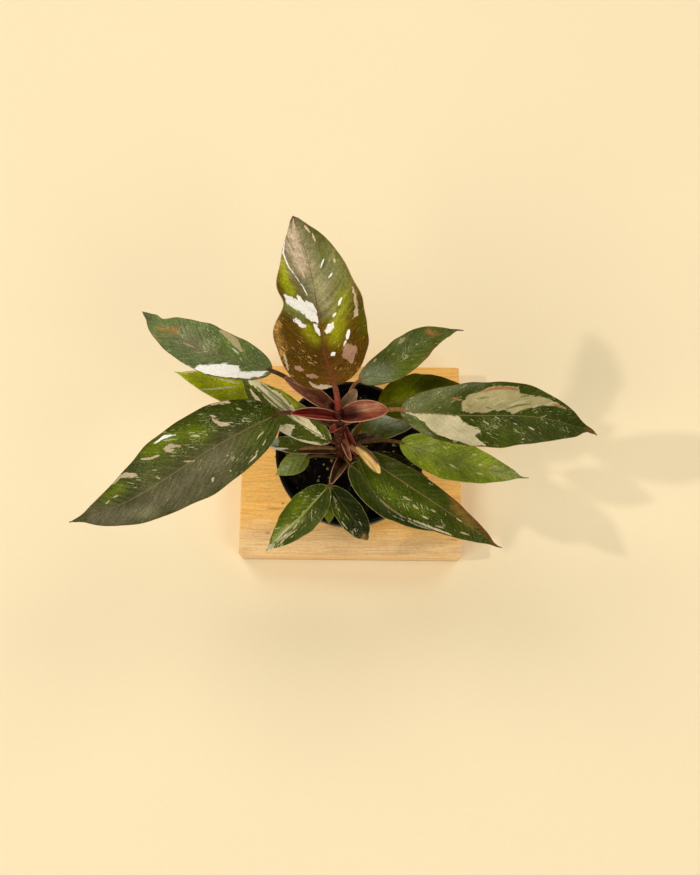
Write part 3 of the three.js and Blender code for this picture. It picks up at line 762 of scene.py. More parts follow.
def build_soil(settings):
    """A round sheet of crumbs that turns up at the pot's wall, pulled down to fill the pot."""
    start_clean()
    bpy.ops.mesh.primitive_grid_add(x_subdivisions=SOIL_CELLS, y_subdivisions=SOIL_CELLS, size=2)
    soil = bpy.context.object
    disc = disc_from_square(points_of(soil.data)[:, :2])
    x, y = np.array(POT_CENTRE.xy)[:, None] + disc.T * SOIL_RADIUS
    away = np.hypot(disc[:, 0], disc[:, 1])
    rise = np.array([soil_height(a, b, settings.relief) for a, b in zip(x, y)])
    rise = np.minimum(rise, 1.6 * MM) + 0.8 * MM * away ** 8 - 0.2 * MM
    move_points(soil.data, np.stack([x, y, SOIL_TOP + rise], axis=1))
    only(soil)
    pull_rings(POT_CENTRE, [(-drop, 1 - drop * SOIL_TAPER / SOIL_RADIUS)
                            for drop in SOIL_DROPS])
    smooth_by_angle(soil, 70)
    finish = crumb_finish("damp potting mix", settings.mix, settings.bark, cell_scale=900,
                          roughness=0.8)
    finished(soil, "potting_mix", finish, ["potting_soil"])


BIT_POINTS = 42
BIT_FACES = 80
CRUMB_EVERY = 7
CRUMB_REACH = 0.8 * MM
CRUMB_SPOTS = ((-64.5, 5.5), (-63, 2.5), (-66, 1), (-61, -1.5), (-70, 12), (-58.5, -40),
               (60, -52))


def scatter(name, count, material, seed, form, smallest, largest, lift):
    """Strews copies of one small form over the mix, each turned and sized by a seeded draw."""
    draw = np.random.RandomState(seed)
    start_clean()
    bpy.ops.mesh.primitive_ico_sphere_add(subdivisions=2, radius=1)
    one = bpy.context.object
    shape = points_of(one.data)
    shape *= 1 + 0.45 * np.array([noise.noise(Vector(p) * 1.3 + Vector((seed, 0, 0)))
                                  for p in shape])[:, None]
    shape *= np.array(form)
    faces = [tuple(face.vertices) for face in one.data.polygons]
    corners, polygons = [], []
    for _ in range(count):
        distance = STREWN_RADIUS * math.sqrt(draw.uniform(0.01, 1))
        angle = draw.uniform(0, 2 * math.pi)
        x = POT_CENTRE.x + distance * math.cos(angle)
        y = POT_CENTRE.y + distance * math.sin(angle)
        scale = smallest + (largest - smallest) * draw.uniform(0, 1) ** 2.2
        turn = Matrix.Rotation(draw.uniform(0, 6.283), 3, "Z")
        turn = turn @ Matrix.Rotation(draw.normal(0, 0.35), 3, "X")
        turn = turn @ Matrix.Rotation(draw.normal(0, 0.35), 3, "Y")
        height = SOIL_TOP + soil_height(x, y, 1.3 * MM) + scale * lift
        spot = shape * scale @ np.array(turn).T + np.array([x, y, height])
        polygons.extend(tuple(len(corners) + c for c in face) for face in faces)
        corners.extend(map(tuple, spot))
    new_faces(one.data, corners, polygons)
    smooth_by_angle(one, 60)
    return finished(one, name, material, [])


def build_soil_bits(settings):
    bark = crumb_finish("bark bits", settings.bark, linear(120, 92, 60), cell_scale=700,
                        roughness=0.75)
    grit = crumb_finish("pale grit", settings.grit, linear(226, 218, 190), cell_scale=1500,
                        roughness=0.8)
    bits = scatter("bark_bits", settings.bark_bits, bark, seed=11, form=(1.5, 0.8, 0.35),
                   smallest=0.7 * MM, largest=3.2 * MM, lift=0.15)
    scatter("pale_grit", settings.grit_bits, grit, seed=23, form=(1, 0.9, 0.75),
            smallest=0.35 * MM, largest=1.55 * MM, lift=0.35)
    # a few crumbs lie on the board round the pot: bits of bark, made small
    crumbs = bits.copy()
    crumbs.data = bits.data.copy()
    bpy.context.collection.objects.link(crumbs)
    bark_points = points_of(crumbs.data).reshape(-1, BIT_POINTS, 3)[::CRUMB_EVERY]
    bit_faces = [tuple(face.vertices) for face in crumbs.data.polygons][:BIT_FACES]
    kept, faces = [], []
    for one, (x, y) in zip(bark_points, CRUMB_SPOTS):
        one = one - one.mean(axis=0)
        one *= CRUMB_REACH / np.abs(one).max()
        one += np.array([x * MM, y * MM, BOARD_TOP - one[:, 2].min()])
        faces.extend(tuple(len(kept) + c for c in face) for face in bit_faces)
        kept.extend(map(tuple, one))
    new_faces(crumbs.data, kept, faces)
    finished(crumbs, "board_crumbs", bark, [])


# Stems

STEM_LINE = (((-4, -27.5, 104), 6.4), ((-4.6, -25, 120), 6.2), ((-6.6, -17, 148), 5.6),
             ((-8.4, -8, 170), 5), ((-9.4, -3, 185), 4), ((-9.8, -0.5, 192), 2.6))
SHOOT_LINE = (((-6, -21, 130), 3), ((-9, -32, 137), 2.8), ((-13, -42, 143), 2.4),
              ((-16.5, -48, 149), 2))
SCAR_LENGTH = 0.55
STEM_STEPS = 90


def smooth_line(line, count):
    """Points and radii at even steps along a smooth curve through the given ones."""
    knots = np.array([at for at, _ in line], float)
    radii = np.array([radius for _, radius in line], float)
    padded = np.vstack([2 * knots[0] - knots[1], knots, 2 * knots[-1] - knots[-2]])
    places, widths = [], []
    for share in np.linspace(0, len(knots) - 1 - 1e-9, count):
        i, u = int(share), share - int(share)
        p0, p1, p2, p3 = padded[i:i + 4]
        places.append(0.5 * (2 * p1 + (p2 - p0) * u + (2 * p0 - 5 * p1 + 4 * p2 - p3) * u * u
                             + (3 * p1 - p0 - 3 * p2 + p3) * u ** 3))
        widths.append(radii[i] + (radii[i + 1] - radii[i]) * u)
    return np.array(places), np.array(widths)


def build_stem(name, line, node, low_colour, high_colour, settings, scars, blunt):
    """A stem with ring scars at shares of its length, and a blunt end over the last steps."""
    places, radii = smooth_line(line, STEM_STEPS)
    along = along_line(places)
    pinch = sum(np.exp(-((along - scar * along[-1]) / SCAR_LENGTH) ** 2) for scar in scars)
    radii = radii - settings.scar / MM * pinch * 0.8 + 0.25 * np.sin(along * 0.9)
    radii[-blunt:] *= np.sqrt(np.linspace(1, 0.05, blunt))
    stem = bar(name, places * MM, radii * MM, 24)
    spots = points_of(stem.data) / MM
    nearest = nearest_of(spots, places)
    share = (along[nearest] / along[-1])[:, None] ** 0.5
    store(stem.data, tint=(1 - share) * np.array(low_colour) + share * np.array(high_colour),
          patch_edge=np.clip(pinch[nearest], 0, 1) * 0.7)
    around = spots - places[nearest]
    store_flat(stem.data, along[nearest], 4 * np.arctan2(around[:, 1], around[:, 0]))
    finished(stem, name, stem_finish(name + " finish", linear(70, 40, 24)), [node])


def build_stems(settings):
    build_stem("main_stem_skin", STEM_LINE, "main_stem", settings.stem_brown,
               settings.maroon, settings, (0.12, 0.28, 0.42, 0.55, 0.68, 0.80, 0.90), 6)
    build_stem("front_shoot_skin", SHOOT_LINE, "front_shoot_stem",
               settings.olive_brown, settings.maroon, settings, (0.35, 0.7), 4)


# Leaves and sheaths

# Each form has its base and tip in mm, width, arch, sway, swerve, hook, wave and lobe in mm, roll,
# fold and climb in degrees, widest as a share of the length, and root, the height in mm where its
# stalk leaves the stem. A notch is its side, and its place, depth and spread as shares.
LEAF = dict(
    width=30, widest=0.36, tip_power=1.1, draw_out=0.3, uneven=0.018, lobe=2, lean=0, notches=(),
    arch=8, sway=0, swerve=0, hook=0, roll=0, fold=12, wave=1.2, waves=2, quilt=1, rows=96,
    columns=48, shoot=False, root=150, climb=45, petiole=1.8, stalk="stalk_pink",
    stalk_root="stalk_root", colour="dark_green", finish="dark_green", flecks=0.5, slant=1.2,
    margin="rust", margin_width=0.25, rib=0.6, rib_colour="rib")
LARGE = dict(LEAF, petiole=1.6)
SMALL = dict(LEAF, petiole=1.1, wave=0.6, rows=60, columns=30, quilt=0.5, stalk="olive_brown")
SHEATH = dict(
    LEAF, fold=35, widest=0.5, tip_power=0.6, lobe=0, wave=0, arch=3, draw_out=0, uneven=0, rows=30,
    columns=14, colour="maroon", finish="maroon", margin="edge", margin_width=0.35, rib=-1,
    rib_colour="edge")

LEAVES = {
    "leaf_back_centre": dict(
        LARGE, base=(-12, 13, 205), tip=(-40, 109, 272), width=66, petiole=1.9, root=182, climb=75, arch=9,
        sway=0.5, swerve=-2, fold=16, tip_power=0.8, wave=1.6, lobe=0, notches=((-1, 0.55, 0.22, 0.07),),
        rows=180, columns=110, colour="bronze", finish="bronze", margin="pink", flecks=0.3, draw_out=0.12,
        stalk="stalk_brown", stalk_root="stalk_red", slant=0.6, rib_colour="rust"),
    "leaf_back_left": dict(
        LARGE, base=(-59, 27, 195), tip=(-154, 73, 188), width=39, root=174, arch=7, sway=-8, fold=10,
        roll=-14, widest=0.42, tip_power=0.9, notches=((1, 0.85, 0.45, 0.05),), colour="blue_green",
        finish="blue_green", stalk="stalk_dark"),
    "leaf_lime_left": dict(
        SMALL, base=(-66, 15, 153), tip=(-132, 34, 167), width=24, root=148, climb=20, arch=3, colour="lime",
        finish="lime", margin="cream", flecks=0.4, rib_colour="light_green"),
    "leaf_large_left": dict(
        LARGE, base=(-54, -5, 190), tip=(-206, -77, 150), width=60, root=168, arch=14, sway=-8, swerve=3,
        fold=10, widest=0.34, tip_power=1.15, rows=160, columns=80, flecks=0.3, stalk="stalk_dark"),
    "leaf_cream_striped": dict(
        SMALL, base=(-17, -15, 158), tip=(-83, 31, 166), width=27, arch=4, sway=-4, widest=0.5,
        tip_power=0.9, colour="mid_green", finish="cream", margin="cream"),
    "leaf_cream_edged": dict(
        SMALL, base=(-24, -17, 142), tip=(-71, -14, 143), width=14, root=132, arch=2, colour="mid_green",
        finish="cream", margin="cream", flecks=0.4),
    "leaf_fresh_small": dict(
        SMALL, base=(-34, -25, 141), tip=(-57, -38, 140), width=17, root=130, climb=30, arch=2,
        colour="light_green", finish="lime", margin="lime", flecks=0.1, rib_colour="light_green", quilt=0.1),
    "leaf_front_left_small": dict(
        SMALL, base=(-18, -50, 151), tip=(-63, -94, 130), width=28, shoot=True, root=144, climb=60, arch=3,
        sway=-1.5, flecks=0.45, margin="light_green", rib_colour="light_green"),
    "leaf_front_right_small": dict(
        SMALL, base=(-14, -50, 150), tip=(13, -85, 132), width=21, shoot=True, root=143, climb=60, arch=2,
        tip_power=0.6, widest=0.5, colour="black_green", flecks=0.32, margin="light_green", rib=0.35,
        rib_colour="mid_green"),
    "leaf_front_tiny": dict(
        SMALL, base=(-16, -54, 142), tip=(-16, -74, 134), width=12, shoot=True, root=134, climb=30, arch=1.5,
        colour="fresh_green", flecks=0.4),
    "leaf_front_right_large": dict(
        LARGE, base=(8, -29, 172), tip=(112, -91, 140), width=34, root=158, arch=6, fold=17, roll=-17,
        sway=1, lean=0.25, flecks=0.25, hook=1.5, draw_out=0.4),
    "leaf_silver_edged": dict(
        SMALL, base=(1, -33, 150), tip=(79, -79, 132), width=34, root=138, arch=2, sway=4,
        finish="blue_green", flecks=0.2, margin="khaki"),
    "leaf_lime_right": dict(
        LARGE, base=(38, -18, 163), tip=(132, -40, 150), width=32, root=148, arch=5, sway=4, petiole=1.2,
        colour="fresh_green", finish="lime", margin="light_green", draw_out=0.55, hook=1.5, tip_power=1.25,
        rows=80, columns=40, stalk="olive_brown"),
    "leaf_large_right": dict(
        LARGE, base=(37, 0, 190), tip=(177, -14, 178), width=49, root=172, arch=10, sway=-2.5, swerve=3,
        widest=0.46, tip_power=1, rows=160, columns=80, flecks=0.42, hook=-2.5, draw_out=0.45),
    "leaf_olive_back_right": dict(
        SMALL, base=(22, 11, 163), tip=(88, 26, 162), width=35, petiole=1.6, root=138, climb=20, arch=3,
        colour="olive", finish="olive", flecks=0.3),
    "leaf_back_right": dict(
        LARGE, base=(7, 24, 185), tip=(82, 64, 180), width=27, root=164, arch=5, sway=-2.5, swerve=3,
        petiole=1.2, widest=0.42, tip_power=1.4, colour="mid_green", hook=-1.5, finish="blue_green",
        flecks=0.4, rows=80, columns=40),
    "leaf_under_right": dict(
        SMALL, base=(2, -7, 139), tip=(67, 14, 142), width=22, root=129, arch=3, colour="mid_green",
        margin="cream"),
    "leaf_dark_low_right": dict(
        SMALL, base=(12, -26, 142), tip=(58, -39, 140), width=21, root=130, arch=2, colour="black_green",
        flecks=0.4),
}

SHEATHS = {
    "sheath_pink_right": dict(
        SHEATH, base=(-8, -4, 184), tip=(26, -1, 192), width=19, colour="pink", finish="pink"),
    "sheath_red_left": dict(
        SHEATH, base=(-8, -5, 182), tip=(-43, -4, 192), width=13, fold=50, rib=0.3),
    "sheath_brown_back_left": dict(
        SHEATH, base=(-10, 0, 182), tip=(-48, 21, 197), width=13, fold=25, finish="brown"),
    "sheath_small_back_right": dict(
        SHEATH, base=(-6.5, -2, 176), tip=(3, 15, 190), width=11, fold=15, colour="olive", finish="brown"),
    "sheath_curled_front": dict(
        SHEATH, base=(-8, -8, 174), tip=(-16, -14, 178), width=6, finish="pink", margin="pink"),
    "sheath_strap_front": dict(
        SHEATH, base=(-7, -14, 158), tip=(0, -31, 160), width=5, colour="pink", finish="pink"),
    "sheath_maroon_front": dict(
        SHEATH, base=(-5, -8, 170), tip=(4, -28, 163), width=6, margin="pink"),
    "sheath_tan_dry": dict(
        SHEATH, base=(4, -22, 171), tip=(21, -44, 178), width=9, fold=20, widest=0.6, arch=4, colour="tan",
        finish="tan", margin="brown"),
    "sheath_olive_left": dict(
        SHEATH, base=(-9, -20, 146), tip=(-41, -22, 152), width=8, arch=2, colour="brown", finish="brown",
        margin="brown"),
    "sheath_brown_right": dict(
        SHEATH, base=(-2, -15, 152), tip=(22, -13, 165), width=8, colour="dark_brown", finish="brown",
        margin="dark_brown"),
    "sheath_front_shoot": dict(
        SHEATH, base=(-5, -25, 132), tip=(-15, -47, 153), width=13, widest=0.3, fold=40, colour="brown",
        finish="brown"),
}

# Lines on a blade are in hundredths, a pair for each point: along it from base to tip, and
# across it from the left margin at -100 to the right one at 100.

# soft changes of colour: colour, strength, reach in mm, and the lines they run along
WASHES = {
    "leaf_back_centre": (
        # painted sheen: the grey washes on this blade, and the khaki ones about its middle, stand in for
        # soft reflections
        ("painted_grey_sheen", 0.72, 11, (92, -15, 75, -17, 62, -4)), ("painted_grey_sheen", 0.9, 9, (59, 14, 50, 25)),
        ("khaki", 0.5, 5, (60, 14, 52, 20)), ("light_green", 0.55, 7, (75, 78, 59, 70)),
        ("olive", 0.6, 3.5, (93, 100, 86, 90, 80, 73, 73, 39)), ("lime", 0.66, 6, (53, 58, 40, 40, 30, 26)),
        ("lime", 1, 3.6, (79, -94, 67, -76, 60, -69)), ("light_green", 0.8, 4, (53, -85, 46, -35)),
        ("lime", 0.7, 4, (39, -27, 31, -12)), ("golden", 0.5, 3, (46, -100, 36, -95, 30, -93)),
        ("olive", 0.7, 5, (47, 94, 32, 91)), ("tan", 1, 7.5, (90, -70, 82, -41, 74, -25)),
        ("rust", 0.35, 4, (30, 6, 4, -7)), ("painted_grey_sheen", 0.6, 8, (80, 45, 68, 45)),
        ("olive", 0.35, 8, (92, 40, 78, 50)), ("rust", 0.25, 8, (5, 10, 15, 30)),
        ("khaki", 0.15, 7, (70, 20, 55, 35)), ("rust", 0.7, 1.6, (98.5, -50, 100, 50)),
        ("mid_green", 0.65, 1.4, (91, -94, 86, -62, 83, -54)),
        ("mid_green", 0.4, 2.2, (82, -80, 75, -56, 67, -36)), ("olive", 0.45, 2.4, (88, 89, 79, 56, 70, 39)),
    ),
    "leaf_back_left": (
        ("painted_grey_sheen", 0.75, 8, (61, 9, 45, -1)), ("purple_and_sheen", 0.4, 8, (68, -7, 56, 7, 45, -1)),
        ("mid_green", 0.5, 8, (19, 60, 34, 48)), ("black_green", 0.4, 5, (91, -78, 96, -44)),
        ("golden", 0.7, 1.6, (80, -100, 73, -100)), ("golden", 0.6, 2.6, (78, -20, 70, 20)),
    ),
    "leaf_lime_left": (
        ("mid_green", 0.5, 4, (81, 3, 60, 20)), ("fresh_green", 0.4, 5, (63, -75, 42, -45)),
    ),
    "leaf_large_left": (
        ("black_green", 0.35, 10, (6, 76, 12, 29)),
        ("fresh_green", 0.55, 6, (51, 79, 41, 74, 33, 60, 29, 35)),
        ("fresh_green", 0.45, 5, (80, 60, 71, 65)), ("purple_and_sheen", 0.9, 9, (87, -12, 71, -54, 62, -57)),
        ("purple_and_sheen", 0.7, 10, (55, -49, 35, -36, 25, -32)), ("painted_grey_sheen", 0.35, 5, (73, -47, 64, -64)),
        ("purple_and_sheen", 0.5, 6, (51, -88, 30, -82)), ("mid_green", 0.5, 8, (17, -40, 10, -15)),
        ("mid_green", 0.4, 8, (55, 44, 40, 39)), ("purple_and_sheen", 0.35, 14, (20, -10, 60, 0)),
    ),
    "leaf_cream_striped": (
        ("lime", 1, 1.6, (84, 100, 69, 100, 56, 86, 41, 76)), ("olive", 0.5, 4, (15, 58, 2, -19)),
    ),
    "leaf_fresh_small": (
        ("light_green", 0.9, 6, (38, 80, 60, 74)), ("mid_green", 0.55, 3.5, (21, 90, 8, 65)),
        # painted highlight: the silver stroke down the middle stands in for the gloss there
        ("silver", 0.4, 1.8, (50, 10, 85, 5)), ("lime", 0.6, 2.5, (90, 0, 100, 0)),
        ("mid_green", 0.5, 2.5, (5, -60, 30, -80)),
    ),
    "leaf_front_left_small": (
        ("light_green", 0.5, 2.4, (42, -17, 56, -5, 72, 36, 81, 49)),
        ("light_green", 0.5, 3, (93, 38, 82, -24)), ("black_green", 0.35, 5, (14, -20, 29, -100)),
        ("mid_green", 0.6, 4, (54, 55, 33, 46)), ("mid_green", 0.5, 4, (58, -99, 43, -81)),
        ("fresh_green", 0.3, 8, (30, 50, 70, 50)),
    ),
    "leaf_front_right_small": (
        ("mid_green", 0.45, 4, (22, 69, 48, 74)), ("golden", 0.7, 3, (94, 55, 96, 100)),
    ),
    "leaf_front_right_large": (
        ("mid_green", 0.2, 9, (23, 5, 40, -5, 55, 6)), ("fresh_green", 0.25, 5, (17, 66, 31, 64, 46, 56)),
        ("black_green", 0.45, 5, (40, -100, 51, -100)), ("rust", 0.7, 1.8, (55, -94, 71, -96, 88, -55)),
        ("golden", 0.35, 4, (61, -60, 76, -27)), ("rust", 0.9, 3, (93, -100, 100, 100)),
    ),
    "leaf_silver_edged": (
        ("blue_green", 0.6, 4, (12, -9, 27, 28, 44, 55)),
    ),
    "leaf_lime_right": (
        ("light_green", 0.6, 6, (12, 7, 21, -36)), ("lime", 0.6, 4, (20, 59, 27, 80)),
        ("mid_green", 0.75, 6, (29, 30, 41, -5, 47, -38)), ("mid_green", 0.5, 5, (35, 56, 54, 38)),
        ("lime", 0.7, 5, (69, -1, 81, -4)), ("golden", 0.8, 3, (96, -100, 100, 100)),
        ("light_green", 0.25, 12, (10, 0, 80, 0)), ("light_green", 1, 6, (74, 0, 92, 0)),
    ),
    "leaf_large_right": (
        ("painted_grey_sheen", 0.55, 9, (2, -42, 18, -68)), ("mid_green", 0.5, 8, (18, -52, 9, 100)),
        ("painted_grey_sheen", 0.4, 4, (7, 100, 14, 100)), ("mid_green", 0.5, 7, (42, 26, 49, 53)),
        ("painted_grey_sheen", 0.35, 4, (18, -100, 38, -97)), ("black_green", 0.3, 7, (73, -32, 85, 0)),
        ("rust", 0.8, 3, (96, 19, 100, 100)),
    ),
    "leaf_olive_back_right": (
        ("fresh_green", 0.6, 5, (21, -12, 32, -29)), ("black_green", 0.4, 6, (51, -47, 68, -62)),
        ("lime", 0.4, 6, (5, -20, 20, -30)),
    ),
    "leaf_back_right": (
        ("blue_green", 0.7, 6, (42, -38, 60, -20)), ("mid_green", 0.6, 6, (22, -62, 32, -4)),
        ("painted_grey_sheen", 0.4, 4, (45, -79, 51, -81)), ("black_green", 0.9, 3, (91, -100, 99, -100)),
        ("golden", 0.5, 2.5, (70, -51, 76, -15)), ("rust", 0.5, 1.5, (52, 91, 73, 100)),
        ("silver", 0.28, 9, (3, -40, 16, 20)),
    ),
    "leaf_under_right": (
        ("silver", 0.45, 7, (35, -50, 55, 10)),
    ),
    "sheath_pink_right": (
        # painted shadow: the deep pink washes darken the base half where it lies in shade; the edge wash is
        # a painted highlight on the upper middle
        ("deep_pink", 1, 8, (0, 30, 33, 35)), ("deep_pink", 0.75, 5, (5, -40, 32, -30)),
        ("edge", 0.4, 3.5, (50, -40, 80, -25)), ("maroon", 0.5, 2.2, (40, 90, 90, 80)),
    ),
    "sheath_red_left": (
        ("rose", 0.95, 2.6, (10, -45, 90, -45)), ("deep_pink", 0.7, 2, (10, 25, 90, 25)),
        ("brown", 0.6, 1.2, (10, -95, 80, -95)),
    ),
    "sheath_brown_back_left": (
        ("brown", 0.85, 12, (50, 0, 100, 0)), ("deep_pink", 0.8, 6, (0, -20, 30, -20)),
        ("edge", 0.12, 3, (70, 30, 100, 20)), ("pink", 0.5, 1.5, (10, -90, 90, -90)),
    ),
    "sheath_small_back_right": (
        # painted highlight: the edge wash lights the right side of the sheath
        ("edge", 0.45, 3.5, (50, 40, 90, 20)), ("brown", 0.7, 4, (0, -30, 30, -30)),
    ),
    "sheath_curled_front": (
        ("rose", 0.3, 2, (40, 30, 90, 30)),
    ),
    "sheath_strap_front": (
        ("deep_pink", 0.8, 1.5, (0, 30, 80, 20)),
    ),
    "sheath_tan_dry": (
        # painted shade: the deep pink wash darkens the upper edge, which lies in shade
        ("deep_pink", 0.95, 1.8, (0, -100, 30, -75, 75, -90)), ("olive", 0.4, 1.5, (10, 90, 50, 100)),
    ),
    "sheath_olive_left": (
        ("tan", 0.3, 1.5, (10, 60, 90, 60)), ("deep_pink", 0.55, 1.8, (10, -30, 90, -30)),
    ),
    "sheath_brown_right": (
        ("olive", 0.25, 3, (50, 20, 90, 20)),
    ),
    "sheath_front_shoot": (
        ("dark_brown", 0.55, 6, (10, 20, 80, 20)), ("olive", 0.6, 2.5, (20, -60, 80, -60)),
    ),
}

